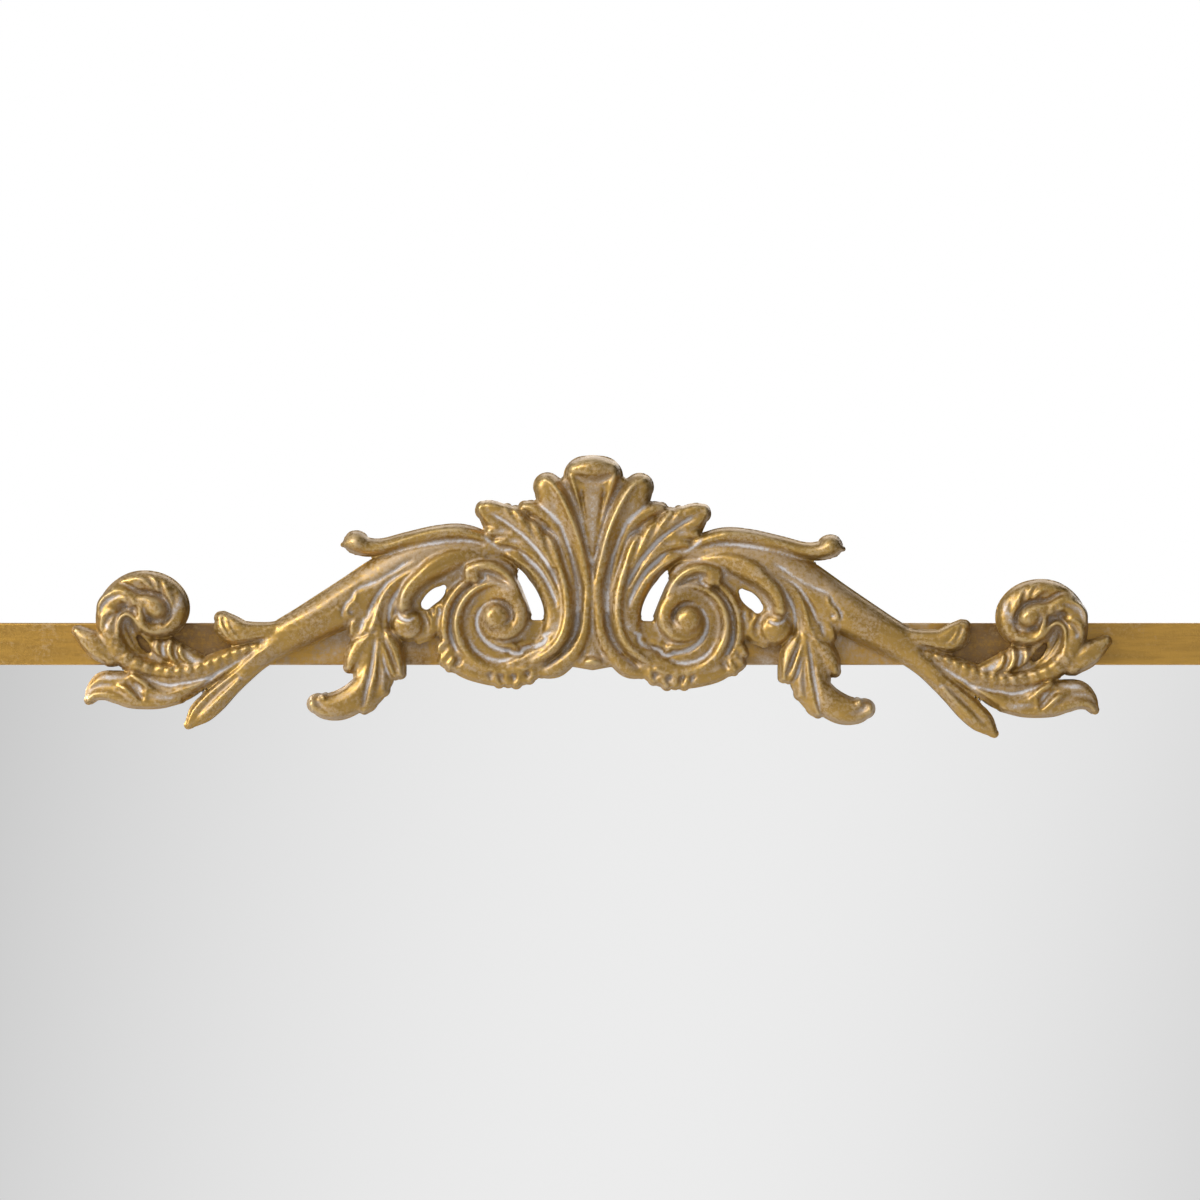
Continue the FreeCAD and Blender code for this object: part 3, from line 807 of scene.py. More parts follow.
    def beads(self, rows: Sequence[Row], count: float, depth: float, slant: float) -> None:
        """Cuts a ridge into beads: depth times (1/2 + 1/2 cos)^2 of the way along it, count turns in all.

        Args:
            rows: The ridge's rows.
            count: Number of beads.
            depth: Depth of the notches, as a height share.
            slant: How far the notches lean.
        """
        line = sampled(rows)
        chosen, distance, side, nearest = self.near(line, line[:, 2].max())
        u = share_across(distance, line[nearest, 2])
        length = np.concatenate([[0], np.cumsum(np.hypot(*np.diff(line[:, :2], axis=0).T))])
        along = (length[nearest] + slant * distance * side) / length[-1]
        notch = (0.5 + 0.5 * np.cos(2 * np.pi * along * count)) ** 2
        self.height[chosen] -= (depth * notch * (1 - u**4)).astype(np.float32)

    def pierce(self, *rows: Row) -> None:
        """Cuts an opening through the casting.

        Args:
            rows: The opening's rows; their height share is not used.
        """
        line = sampled(rows)
        chosen, distance, _, nearest = self.near(line, line[:, 2].max() + self.edge_margin)
        outside = distance - line[nearest, 2].astype(np.float32)
        self.reach[chosen] = np.minimum(self.reach[chosen], outside)

    def carve_all(self) -> None:
        """Lays all ornaments, from the lowest to the highest."""
        ornaments: Sequence[Callable[[], None]] = (
            self.ground, self.main_stem, self.bow, self.curl_leaf, self.fish_tail, self.end_leaf,
            self.end_scroll, self.fluted_leaf, self.volute_skirt, self.c_stem, self.volute, self.hood,
            self.v_stem, self.outer_petal, self.feather, self.inner_petal, self.hanging_leaf, self.finger,
            self.column, self.openings,
        )
        for ornament in ornaments:
            ornament()
        log.info("carved %d ornaments on %d plan places", len(ornaments), len(self.x))

    def ground(self) -> None:
        """Plain ground between the stems under the middle ornament."""
        self.ridge((592.5, 560, 7, 36), (592.5, 600, 8, 38), (592.5, 655, 9, 38), full=6)
        self.ridge((575, 659.6, 7.4, 36), (592.5, 662, 8, 38), full=6)
        self.ridge((400, 615, 12, 34), (425, 618, 14, 32), (440, 600, 14, 30), (456, 580, 10, 32), full=6)
        self.ridge(
            (452, 575, 8, 40), (468, 567, 10, 42), (490, 565, 11, 40), (506, 569, 9, 38), (513, 574, 6, 36),
            full=8)
        self.ridge((567, 484, 8, 42), (574, 500, 8, 42), (580, 520, 8, 42), full=8)
        self.ridge((562, 522, 24, 32), (573, 560, 22, 32), (578, 610, 18, 32), (574, 648, 16, 30), full=8)
        self.ridge((490, 625, 46, 30), (494, 628, 46, 30), full=10)
        self.ridge((530, 634, 16, 33), (544, 630, 14, 34), full=8)

    def main_stem(self) -> None:
        """Broad stem from the volute out to the blade that ends on the rail."""
        self.ridge(
            (512, 552, 7, 42), (496, 549, 11, 44), (478, 549, 16, 50), (440, 551, 24, 60),
            (398, 572, 24.5, 66), (350, 602, 23.5, 70), (308, 625, 20, 68), (278, 641, 17, 60),
            (258, 658, 12.5, 52), (244, 673, 10, 46), (230, 686, 10.5, 44), (214, 701, 12.3, 42),
            (200, 714, 11, 38), (190, 724.5, 4.5, 30), full=2.4)
        self.wash(
            (500, 551, 5, 10), (482, 549, 9, 24), (462, 550, 11, 30), (442, 552, 12, 32), (420, 556, 13, 34),
            (396, 565, 14, 34), (372, 576, 14, 32), (350, 588, 12, 28), (330, 600, 10, 20), (308, 611, 8, 10),
            (285, 622, 6, 0))
        self.add(
            (283, 626, 9, 4), (300, 617, 11, 5.5), (323, 606, 12, 6), (341, 592, 10, 5.5), (358, 583, 7, 3.5))
        self.add(
            (278, 633, 3.5, 2), (295, 631, 3.5, 3), (306, 627, 3.5, 3), (323, 620, 3.5, 3),
            (343, 607, 3.5, 3), (352, 598, 3, 2))
        self.groove(
            (195, 720, 2, 4), (205, 708, 3, 10), (217, 695.6, 3.2, 12), (229, 685, 3, 12), (239, 677, 2.4, 8),
            pale=0.1)
        self.add(
            (189, 721, 2.5, 4), (195, 710, 3, 6), (205, 698, 3, 7), (218, 686, 3, 7), (228, 678, 3, 6),
            (240, 669, 3, 5), (252, 660, 3, 5), (266, 650, 3, 4), (280, 640, 3, 2))
        self.add(
            (203, 719, 2.6, 4), (218, 703.5, 3, 6), (229.4, 692, 3, 6), (239.7, 680.5, 3, 5),
            (248, 671, 3, 3))
        self.groove((239, 676, 2, 4), (243, 678, 2.5, 10), (247, 680, 2, 4))

    def bow(self) -> None:
        """Bow that lies on the main stem, with the bulb at its outer end."""
        self.ridge(
            (344, 545, 2.5, 45), (349, 544, 9, 62), (357, 543, 12.5, 80), (367, 547, 10, 70),
            (382, 547.5, 9, 64), (408, 541, 8.8, 62), (438, 534.5, 9, 64), (462, 533, 9, 64),
            (484, 539, 8, 56), (500, 547, 5, 46))
        self.groove(
            (363, 563, 2, 3), (368, 558, 2.4, 8), (389, 554.5, 2.4, 10), (402, 551, 2.4, 10),
            (416, 547, 2.6, 10), (424, 545.5, 3, 12), (437, 543, 3.4, 15), (451, 541.5, 3.4, 15),
            (470, 541.5, 3, 13), (484, 545, 2.5, 8))
        self.add(
            (375, 548.5, 3, 2), (390, 546, 3, 4), (404, 541, 3, 5), (417, 536, 3, 6), (432, 531.5, 3, 6),
            (447, 529.5, 3, 6), (464, 530.5, 3, 4))

    def curl_leaf(self) -> None:
        """Small bud that curls up from the stem toward the end scroll, with three curved cuts in its side."""
        self.ridge((225, 617.4, 6.6, 48), (233.4, 622.6, 8, 58), (245, 629.6, 8.6, 62), full=2.6)
        self.ridge(
            (222.5, 618, 7, 46), (226.6, 627, 11.6, 58), (236, 632, 13, 64), (252, 633, 11.6, 63),
            (272, 631, 9.4, 58), (292, 625, 7, 50), full=2.6)
        self.groove(
            (225, 617, 1.8, 3), (227, 624, 2.2, 6), (231.4, 631.6, 2.2, 6), (237, 637.6, 1.8, 3), pale=0)
        self.groove(
            (231, 620, 1.8, 3), (233.4, 626, 2.2, 6), (238, 632, 2.2, 6), (242.6, 636.6, 1.8, 3), pale=0)
        self.add((221.6, 615, 2.4, 3), (223.4, 624.6, 2.6, 5), (228, 633.6, 2.6, 5), (233.6, 640, 2.2, 3))
        self.add((228, 618, 2, 3), (229.8, 625, 2.2, 5), (234.4, 632.6, 2.2, 5), (239.6, 638.4, 2, 3))
        self.groove((240, 643, 2.4, 6), (254, 642, 2.8, 10), (268, 639, 2.4, 6), pale=0)

    def fish_tail(self) -> None:
        """Forked tail at the far end, with its flap, its two folded lobes and its long smooth body."""
        self.ridge(
            (90, 699.5, 4, 32), (97, 690, 9.5, 38), (106, 685, 14, 42), (120, 687, 16.5, 44),
            (137, 690, 18, 46), (160, 691, 16.5, 46), (182, 688, 13.5, 44), (200, 680, 10.5, 43),
            (222, 669, 8, 43), (246, 656, 6, 43), full=3.2)
        self.wash((102, 677, 3, 40), (109, 677, 3.6, 80), (117, 676.8, 3.4, 75), (126, 676, 3, 40))
        self.add((130.6, 671, 1.8, 4), (130.4, 677, 2, 6), (127.6, 680.6, 1.8, 3))
        self.groove(
            (89.6, 695, 2, 4), (94, 688.6, 2.8, 8), (101, 685.4, 3, 9), (110, 684.6, 3, 8),
            (116.6, 686, 2.4, 4))
        self.ridge(
            (90.4, 700.6, 4, 42), (96, 695.4, 5.6, 50), (105, 693.8, 6, 54), (118, 696, 7, 56),
            (131, 700, 7.6, 54), (146, 702, 7, 52), (163, 701.6, 6.6, 50), (180, 697.4, 6.4, 48), full=2.4)
        self.ridge(
            (150, 691, 6, 52), (163, 694.4, 7.4, 53), (178, 693, 7.4, 51), (193, 687, 6.4, 49),
            (208, 680.4, 4, 46), full=2.6)
        self.ridge(
            (134, 675, 4.4, 54), (140, 678.6, 5.4, 60), (147, 683, 5.4, 60), (154, 688, 4.4, 56), full=2.4)
        self.ridge(
            (121.6, 686.6, 4.4, 54), (126, 689, 6.4, 62), (132, 694, 6.6, 63), (138, 699, 5.6, 60),
            (143.6, 702.6, 4, 53), lean=-0.3)
        self.groove(
            (128, 680.6, 1.8, 6), (134, 685, 2.2, 14), (139, 691.4, 2.4, 17), (143.8, 697.6, 2.2, 12), pale=0)
        self.groove((136.6, 682.4, 2, 4), (140.6, 686.4, 3, 10), (143.4, 690, 2.6, 8), pale=0.95)
        self.wash((136.6, 683, 2, 70), (140.8, 686.6, 3.2, 95), (143, 690.6, 2.4, 80))
        self.add((149, 685.4, 2, 5), (148.6, 692, 2.3, 9), (148.2, 699, 2, 6))
        self.groove(
            (150.6, 684.4, 1.8, 6), (160, 687, 2, 10), (169, 690.4, 2, 8), (178, 688.4, 1.8, 4), pale=0)
        self.wash((152.6, 695.6, 2.6, 35), (162, 696.6, 3.2, 66), (172, 697.4, 3, 66), (178, 696, 2.4, 30))

    def end_leaf(self) -> None:
        """Short leaf that points outward above the tail, folded along its middle."""
        self.ridge(
            (79.5, 631, 6.2, 50), (88, 637.5, 10, 60), (100, 646, 13.4, 64), (113, 656, 11, 58), full=3.4)
        self.add((79, 631, 2.2, 3), (85, 636.6, 2.6, 5), (96, 641, 3, 5), (108, 648, 3, 3))
        self.add((80, 641, 1.8, 4), (86, 645.4, 2, 8), (92.6, 651.6, 1.8, 5))
        self.groove(
            (82, 644.6, 1.6, 3), (91, 652, 1.9, 8), (99.6, 659.6, 1.9, 8), (107, 665, 1.6, 4), pale=0.5)
        self.add((96, 651, 2.6, 3), (104, 654.6, 3, 5), (111, 660, 2.6, 3))

    def end_scroll(self) -> None:
        """Spine that runs out and winds up in the end scroll, with its petals, smooth comma and round eye."""
        self.ridge((124, 606, 22, 44), (163, 608, 26, 44), full=6)
        self.ridge((128, 622, 10, 38), (140, 640, 12, 36), (160, 655, 10, 36), full=6)
        self.ridge(
            (270, 642, 5, 44), (248, 649, 6.5, 50), (233, 654.5, 7, 52), (214, 663, 7.5, 54),
            (196, 669, 8, 54), (180, 671.5, 8.5, 55), (163, 670.5, 9, 57), (147, 667, 9.5, 60),
            (131, 659.5, 11, 64), (118, 645, 12.5, 68), (111.5, 627, 13, 70), (112, 611, 13.5, 70),
            (121, 596, 14, 72), (136, 586, 14, 72), (153, 584.5, 13.5, 70), (168, 590, 13, 68),
            (177.5, 601, 12.5, 66), (178.5, 613, 12, 64), (171, 623.5, 12, 64), (158, 627.5, 10, 64),
            (147, 624, 8, 66), full=2.6)
        self.add(
            (131, 577.5, 3, 3), (140, 578, 4, 7), (148, 581.4, 4.4, 10), (153, 586, 4, 10),
            (155.6, 592, 3, 5))
        self.add(
            (143, 572.6, 2.6, 3), (151, 574.6, 3.4, 6), (157.4, 579.6, 3.8, 9), (160.4, 586, 3.4, 8),
            (161.6, 592, 2.6, 4))
        self.add((166, 580, 3, 3), (169.6, 590, 4.4, 8), (172.6, 599, 4.2, 8), (175, 608.6, 3, 5))
        self.groove((136, 583.6, 2, 4), (144, 585.6, 3, 9), (149, 589.4, 2.4, 7), (151, 592, 2, 3), pale=0.45)
        self.groove((150, 576, 2, 4), (154.4, 580.6, 2.2, 6), (157.6, 588, 2, 5), pale=0.5)
        self.groove((163, 584, 2.4, 5), (165, 592, 2.8, 8), (164, 598, 2.4, 6), pale=0.5)
        self.groove((176.6, 588, 2, 4), (178, 597, 2.2, 6), (177.4, 604, 2, 4), pale=0.2)
        self.ridge(
            (103, 614, 5, 70), (105.6, 604.6, 6.6, 75), (112, 597.8, 7, 79), (121, 595.6, 7, 81),
            (129.6, 599, 7, 83), (132.6, 603, 5.6, 83), full=3)
        self.ridge(
            (117, 589.6, 4.6, 76), (126, 590.4, 6.4, 82), (136, 595.6, 7.6, 86), (143.6, 602.6, 9, 88),
            (145.4, 611.6, 8.8, 87), (144.4, 621, 7.4, 81), (149, 628.6, 6.4, 75), (158, 631, 6, 70),
            (169, 628.6, 6.4, 67), full=2.4)
        self.ridge((140, 598, 7, 86), (149, 600, 8, 91), (155, 603, 10, 94), full=3)
        self.ridge((158, 607, 12.4, 98), (159.4, 608, 12.4, 98), full=3.2)
        self.groove(
            (151, 601, 1.6, 4), (148, 606, 2, 11), (147.4, 612.6, 2.1, 13), (149.8, 618.4, 2, 12),
            (155.6, 622, 2, 12), (162.6, 622.4, 2, 10), (168, 619.6, 1.8, 5), pale=0.15)
        self.groove(
            (120, 582.6, 2, 5), (128, 584.4, 3.2, 18), (136, 588.4, 3.4, 24), (143, 592.2, 3.4, 25),
            (152, 592.8, 3.2, 24), (160.4, 595, 3.2, 24), (167.4, 600.6, 3.2, 25), (171.6, 609, 3.4, 26),
            (171, 617, 3.2, 22), (166.4, 622.6, 2.8, 16), pale=0)
        self.ridge((138, 600.6, 7.4, 86), (146, 602, 8.4, 92), (153, 604, 9.4, 97), full=4)
        self.ridge((158.4, 607.4, 11.2, 100), (159.4, 608.2, 11.2, 100), full=3)
        self.groove(
            (150.6, 602, 1.4, 4), (148, 607, 1.8, 12), (148, 613, 1.9, 15), (151, 618.4, 1.9, 14),
            (157, 621, 1.8, 10), (163, 621, 1.6, 4), pale=0.1)
        self.wash(
            (185, 592, 3, 50), (182.6, 600, 4, 66), (179, 608, 4.4, 66), (174.6, 613.6, 3.4, 72),
            (172.6, 619, 2.6, 60))
        self.add(
            (99.8, 613, 2, 5), (102.6, 603.4, 2.3, 9), (107.6, 596.4, 2.5, 11), (113.6, 592.6, 2.5, 11),
            (121, 591.4, 2.5, 10), (128.4, 593.6, 2.5, 10), (134, 597.4, 2.6, 9), (137.4, 601, 2.6, 8),
            (137, 606, 2.6, 8), (132.6, 609.4, 2.4, 7), (127, 607.8, 2, 3))
        self.groove(
            (102.6, 614, 2.4, 5), (105.4, 606.4, 3.2, 12), (110.4, 600.6, 3.4, 15), (117, 597.6, 3, 14),
            (124, 595.4, 2.2, 8), pale=0.75)
        self.groove(
            (118.6, 605.4, 2.2, 5), (124.6, 605.6, 2.8, 12), (131, 604.6, 3, 14), (133.4, 603, 2, 6),
            pale=0.6)
        self.add((111.6, 601.6, 1.8, 3), (117, 599.6, 2, 6), (124, 598.4, 2.2, 7), (130.4, 599.4, 2.2, 6))
        self.add((116.6, 603.6, 1.8, 3), (122, 602.2, 2, 5), (128, 601, 2, 5))
        self.add(
            (103.8, 630, 2.2, 4), (104.6, 621, 2.8, 7), (108, 614.6, 2.8, 8), (112.6, 611.6, 2.8, 8),
            (118.4, 610.8, 2.8, 8), (123, 612.4, 2.4, 5))
        self.groove(
            (107.6, 629, 2.4, 5), (110, 622, 3.2, 11), (114.4, 616.6, 3, 11), (118.4, 614.4, 2.2, 5),
            pale=0.35)
        self.wash((109.4, 625.4, 2.4, 90), (110.2, 627.4, 2.4, 90))
        self.add((112, 625.6, 1.8, 4), (115, 620, 2, 8), (118.6, 616.4, 1.8, 5))
        self.ridge(
            (121.6, 642, 3, 68), (121.4, 631, 3.4, 76), (122, 621.6, 3.6, 81), (125.4, 616, 3.6, 83),
            (130.6, 614, 3.6, 84), (136, 617, 3.6, 83), (140, 623, 3.4, 79), (143.4, 629, 3, 72))
        self.groove(
            (129.5, 620, 2.4, 20), (131.5, 627, 3.4, 38), (135.5, 635, 4.2, 46), (142, 644, 6, 44),
            (150, 652, 5, 36), (160, 659, 3.4, 24), (172, 664.5, 2.4, 10), pale=0)
        self.wash((132.6, 622, 1.5, 50), (133.6, 627, 1.7, 80), (135.4, 633, 2, 90), (138, 637, 1.6, 50))
        self.add((112, 650, 1.8, 3), (115.6, 641.6, 2, 5), (118.4, 633, 1.8, 3))
        self.add((116.6, 657, 1.8, 3), (120.4, 648.6, 2, 5), (123.4, 641, 1.8, 3))

    def fluted_leaf(self) -> None:
        """Fluted leaf that hangs from the scroll over the spine, and the spine's ribs and white lines."""
        self.ridge(
            (160, 646, 8.6, 42), (173, 651, 11.4, 45), (187, 656, 9.4, 45), (202, 660.6, 6.4, 44), full=3)
        self.ridge((212, 660, 6, 46), (234, 651, 4.5, 46))
        self.ridge((159.6, 641, 2.8, 50), (158.4, 647.4, 3.2, 56), (161, 654, 2.6, 54))
        self.ridge((173, 641, 4, 52), (171.4, 649, 5, 60), (173.6, 656.6, 4.8, 60), (178, 662, 3, 54))
        self.ridge((183, 645.6, 3.2, 50), (182.6, 651.6, 4, 57), (185.4, 658, 3.8, 57), (190, 662.4, 2.8, 52))
        self.groove(
            (166.4, 639, 2, 6), (164.8, 647.4, 2.4, 12), (166.2, 655, 2.4, 12), (169.4, 660.6, 2, 6), pale=1)
        self.groove((178, 645, 2, 6), (177.4, 652, 2.2, 10), (179.6, 659, 2, 6), pale=0.4)
        self.wash((157, 641, 1.6, 70), (156, 646, 1.8, 60), (155, 653, 1.8, 50))
        self.wash((187.4, 651, 2.4, 50), (191.6, 657, 3.6, 80), (197, 661, 3.6, 85), (203, 660, 3, 50))
        self.add((163, 659.4, 2, 3), (171, 663, 2, 5), (180, 664.8, 2, 5), (190, 665, 2, 3))
        self.wash((182.6, 663.4, 2.2, 95), (184, 663.6, 2.2, 95))
        self.beads(
            [(262, 643.5, 6.5, 0), (248, 648.5, 7, 0), (233, 654.5, 7.6, 0), (214, 662.6, 8, 0),
            (196, 668.4, 8.4, 0), (180, 671, 8.8, 0), (163, 670.5, 9.4, 0), (156, 669.4, 9.6, 0)], count=11,
            depth=0.066, slant=0.3)
        self.beads(
            [(156, 669.4, 9.6, 0), (147, 667, 10, 0), (131, 659.5, 11, 0), (120, 648.6, 11.6, 0)], count=3.6,
            depth=0.06, slant=0.1)
        self.groove(
            (139, 671.4, 2, 5), (146, 675.4, 2.2, 10), (151, 679.6, 2.2, 10), (157, 681.4, 2.4, 14),
            (164, 683.8, 2.8, 18), (173, 685, 2.8, 18), (181, 683.4, 2.2, 14), (190, 682, 2.6, 16),
            (200, 680, 2.3, 15), (208, 678, 2.3, 14), (215, 675.4, 2.6, 15), (221, 671.6, 2.6, 15),
            (228, 668, 2.6, 14), (235, 663.8, 2.2, 12), (243, 659, 2, 10), (252, 653.4, 2, 8), pale=0.9)
        self.groove(
            (193.6, 697, 2.4, 8), (200, 690.6, 2.6, 14), (207, 684.6, 2.6, 14), (213, 678.8, 2.4, 12),
            (218, 674.4, 2, 6), pale=0.9)
        self.groove((262, 640, 2.4, 8), (248, 643, 2.8, 10), (236, 646, 2.4, 8), pale=0.5)

    def volute_skirt(self) -> None:
        """Skirt round the volute: its outer band, the plain under it and the ribs between the scoops."""
        self.ridge(
            (448, 648, 11, 38), (456, 656, 13.4, 42), (468, 662.6, 15.6, 45), (485, 667.4, 16.4, 46),
            (500, 669.6, 16.8, 46), (515, 670, 16.8, 46), (527, 668.4, 14.8, 45), (537, 663.4, 12.6, 44),
            full=5)
        self.ridge((445, 662, 5.4, 43), (452, 666, 5.8, 45), (461, 668.6, 5.8, 45))
        self.ridge((466, 670, 6.6, 44), (476, 674.6, 6.6, 44), (484, 677.6, 6, 44))
        self.ridge(
            (471, 578, 6, 56), (462, 586, 6.6, 57), (455, 594, 7, 57), (449.5, 603, 7, 56),
            (446.4, 612, 7, 55), (445.3, 622, 7, 55), (445.4, 632, 7, 53), (448, 642, 7.5, 50))
        self.wash((441.5, 611, 2, 40), (439.8, 621, 2.2, 50), (439.8, 631, 2.2, 60), (438, 638, 2.4, 60))
        self.ridge((448, 641, 6.8, 50), (442, 645.4, 5.6, 53), (439.4, 650, 4.6, 49), full=2.6)
        self.ridge((451, 649, 7.4, 50), (445.4, 655, 6.4, 53), (442.6, 660, 5, 48), full=2.6)
        self.ridge((456, 656, 8, 50), (450.5, 664, 6, 53), (450, 668, 4.4, 46))
        self.groove((456, 655, 3, 6), (460, 660, 4.4, 15), (457.5, 664, 3.2, 10), pale=0.45)
        self.groove((447.5, 649, 2, 6), (443.5, 654.5, 2.2, 9), pale=0.4)
        self.groove(
            (474.5, 585.5, 2, 8), (467, 591.5, 3, 15), (460, 599, 3.2, 18), (455.5, 607.5, 3.2, 18),
            (452.6, 617, 3.2, 18), (451.4, 627, 3.2, 18), (451.8, 636, 3.4, 18), (454, 643, 3.4, 16),
            (457, 650, 2.4, 10), pale=1)
        self.ridge((493, 670, 4.4, 46), (496, 677, 5.4, 49), (499.6, 682.4, 6, 45))
        self.ridge((505, 669, 4.6, 47), (507, 677, 5.6, 50), (508.6, 682, 6, 46))
        self.ridge((518.6, 668, 4.6, 48), (519.4, 677, 5.6, 51), (516.6, 683, 6.2, 47))
        self.ridge((531, 664, 4.6, 48), (533, 671.6, 5.6, 51), (529.6, 678.6, 6, 47))
        self.groove((488.5, 668, 3, 10), (490.5, 673, 3.6, 18), (492, 679, 2.4, 10), pale=0.8)
        self.groove((499.5, 666, 2.8, 10), (501, 673, 3.6, 20), (502.4, 681, 2.8, 12), pale=0.5)
        self.groove((510, 664, 3, 10), (513, 671, 4, 22), (515, 679, 3, 14), pale=0.75)
        self.groove((522.5, 661, 3, 10), (525.6, 668, 3.8, 22), (528.8, 676, 3, 14), pale=0.65)
        self.wash((465, 662.5, 2.4, 50), (470, 666.5, 2.6, 55), (476, 668.5, 2, 40))
        self.wash((483.6, 669.5, 1.6, 80), (484.6, 670, 1.6, 80))

    def c_stem(self) -> None:
        """Broad C-shaped stem to the right of the volute, hollow at its left and rounded at its right."""
        self.ridge(
            (508, 554, 5, 46), (520, 557, 10, 50), (533, 564, 13, 54), (543, 574, 15, 57),
            (551, 587, 16.4, 59), (557.5, 601, 17.4, 60), (559, 616, 17, 61), (556.5, 630, 16, 60),
            (550, 642.5, 13.5, 58), (539, 653, 11.5, 56), (525, 660, 9, 53), (512, 663, 7, 50), full=3)
        self.wash(
            (549, 632, 3, 10), (553, 629, 4.6, 50), (557.5, 625.5, 5, 60), (561.5, 620, 4, 30),
            (563, 612, 3, 0))

    def volute(self) -> None:
        """Large volute: a hollow band that turns into a round one and ends as its eye.

        The band lies between two turns of the spiral r = R e^(-k a); across it the hollow falls from its rim and
        rises again, and the round part is half an ellipse.
        """
        centre, radius, tight = (500.0, 617.0), 70.0, 0.14
        band_start, tube_start, tube_end, eye_start, eye_end = 60, 200, 300, 410, 500
        rim_degrees, rim_inset = (104, 150, 200, 300), 5
        off_x, off_y = self.x - centre[0], self.y - centre[1]
        distance = np.hypot(off_x, off_y)
        chosen = np.flatnonzero(distance < radius + self.edge_margin)
        distance, angle = distance[chosen], np.arctan2(off_y[chosen], off_x[chosen])
        turn = 2 * np.pi
        wound = np.log(radius / np.maximum(distance, 0.2)) / tight
        angle = np.maximum(angle + turn * np.floor((wound - angle) / turn), angle + turn * np.ceil(-angle / turn))
        outer, inner = radius * np.exp(-tight * angle), radius * np.exp(-tight * (angle + turn))
        across = np.clip((outer - distance) / np.maximum(outer - inner, 0.001), 0, 1)
        degrees = np.degrees(angle)
        hollow = 0.56 - 0.2 * eased(0.04, 0.42, across) + 0.06 * eased(0.5, 0.85, across)
        crown = np.sqrt(np.clip(1 - (2 * across - 1) ** 2, 0, 1)) * (1 - eased(eye_start, eye_end, degrees))
        round_band = 0.46 + 0.0004 * np.clip(degrees - 270, 0, 240) + 0.3 * crown
        tube = eased(tube_start, tube_end, degrees)
        present = (outer >= distance) & (degrees > band_start)
        height = np.where(present, hollow * (1 - tube) + round_band * tube, 0).astype(np.float32)
        self.join(chosen, height, np.where(present, outer - distance, -50).astype(np.float32))
        around = np.radians(np.linspace(rim_degrees[0], rim_degrees[-1], 20))
        rim = radius * np.exp(-tight * around) - rim_inset
        rim_rows = [centre[0] + rim * np.cos(around), centre[1] + rim * np.sin(around)]
        widths = np.interp(np.degrees(around), rim_degrees, [10, 8.5, 7, 7])
        heights = np.interp(np.degrees(around), rim_degrees, [52, 64, 70, 76])
        self.ridge(*np.stack([*rim_rows, widths, heights], 1), lean=-0.3)
        self.ridge((496, 618, 18, 50), (498, 619.5, 18, 50), full=10)
        self.ridge((498, 620.5, 16, 84), (503.5, 623.5, 15.5, 82), full=3)
        self.ridge((496.6, 616.6, 15.2, 92), (498, 617.6, 15.2, 92), full=4)
        self.add((494, 616, 13, 5), (495, 616.4, 13, 5))
        self.groove(
            (491, 601, 2, 6), (499, 601.4, 2.4, 14), (506, 604.6, 2.8, 20), (510.8, 610.6, 3, 24),
            (511.6, 617, 2.8, 20), (508.6, 621.5, 2.4, 12), (503.6, 624.5, 2, 6), pale=0)
        self.groove(
            (487, 603, 2, 6), (481.6, 608.6, 2.4, 12), (478.2, 615.5, 2.6, 14), (477.2, 622.5, 2.8, 15),
            (478.8, 630, 3, 15), (482.6, 637, 3.2, 16), (488.6, 643, 3.6, 16), (495.5, 647.4, 3.6, 16),
            (503, 649.8, 3.4, 15), (510, 650.4, 3, 14), pale=1)
        self.groove(
            (508, 650.6, 2.6, 12), (513, 652.8, 3, 14), (521, 652.8, 3, 14), (523.6, 648.6, 2.6, 14),
            (530, 647, 3, 14), (538, 645.4, 3.2, 15), (543.6, 642, 3.4, 15), (546, 638, 3, 13),
            (543.8, 635, 2.6, 12), (547.5, 633.4, 3, 12), (553, 631, 2.6, 6), pale=1)
        self.groove(
            (470.5, 640.5, 2.4, 6), (474, 647.5, 3, 12), (480, 653.4, 3.2, 14), (488, 658, 3.4, 15),
            (497, 660.4, 3.4, 15), (506, 660, 3, 12), (514, 658, 2.4, 5), pale=0.9)
        self.wash((521, 634.5, 2, 60), (524.5, 638, 2.2, 60))
        self.add(
            (488, 641, 3, 3), (500, 644.6, 3.4, 6), (512, 645, 4, 8), (521, 644, 4.4, 9), (531, 641, 4, 5))

    def hood(self) -> None:
        """Hood over the volute's start, square at its left end and hollow underneath."""
        self.ridge((484, 579, 11, 62), (498, 582, 10, 62), (511, 588, 8, 60), full=6)
        self.wash(
            (484.6, 576, 1.8, 60), (486.8, 573.4, 2, 90), (493, 574.2, 2.2, 90), (500, 577.8, 2.2, 85),
            (507.6, 583.6, 2.6, 55))
        self.wash((487, 580, 4, 40), (498, 583, 4, 45), (508, 589, 4, 40))
        self.ridge(
            (471, 568.5, 8, 78), (480, 567.6, 9.2, 86), (491, 567.8, 9.2, 88), (501, 572, 8.8, 86),
            (508.5, 578.4, 7.6, 81), (514.5, 587.5, 7, 76), (519.2, 597.5, 6.2, 70), (523.5, 608, 5.2, 64),
            lean=-0.15)
        self.ridge((469, 571, 6, 80), (469.4, 579, 5.6, 74), full=3)
        self.ridge((475, 570, 8.4, 84), (475.6, 578, 7.6, 78), full=3)
        self.groove(
            (484, 572, 2.5, 6), (491, 573.6, 3.6, 10), (499, 576.6, 3.8, 10), (506, 581.4, 3.4, 6), pale=0.55)
        self.groove((485.8, 573, 2, 8), (485.4, 579.4, 2.2, 12), (479.6, 583.5, 2, 10))
        self.wash((507, 582, 4.4, 28), (513, 587, 4.4, 28))
        self.wash((488, 579, 5, 22), (500, 581, 4, 22))
        self.wash(
            (463.5, 563, 2.4, 50), (471, 559.4, 2, 70), (480, 557.8, 1.8, 90), (489, 558, 1.8, 85),
            (497, 560, 1.6, 50))
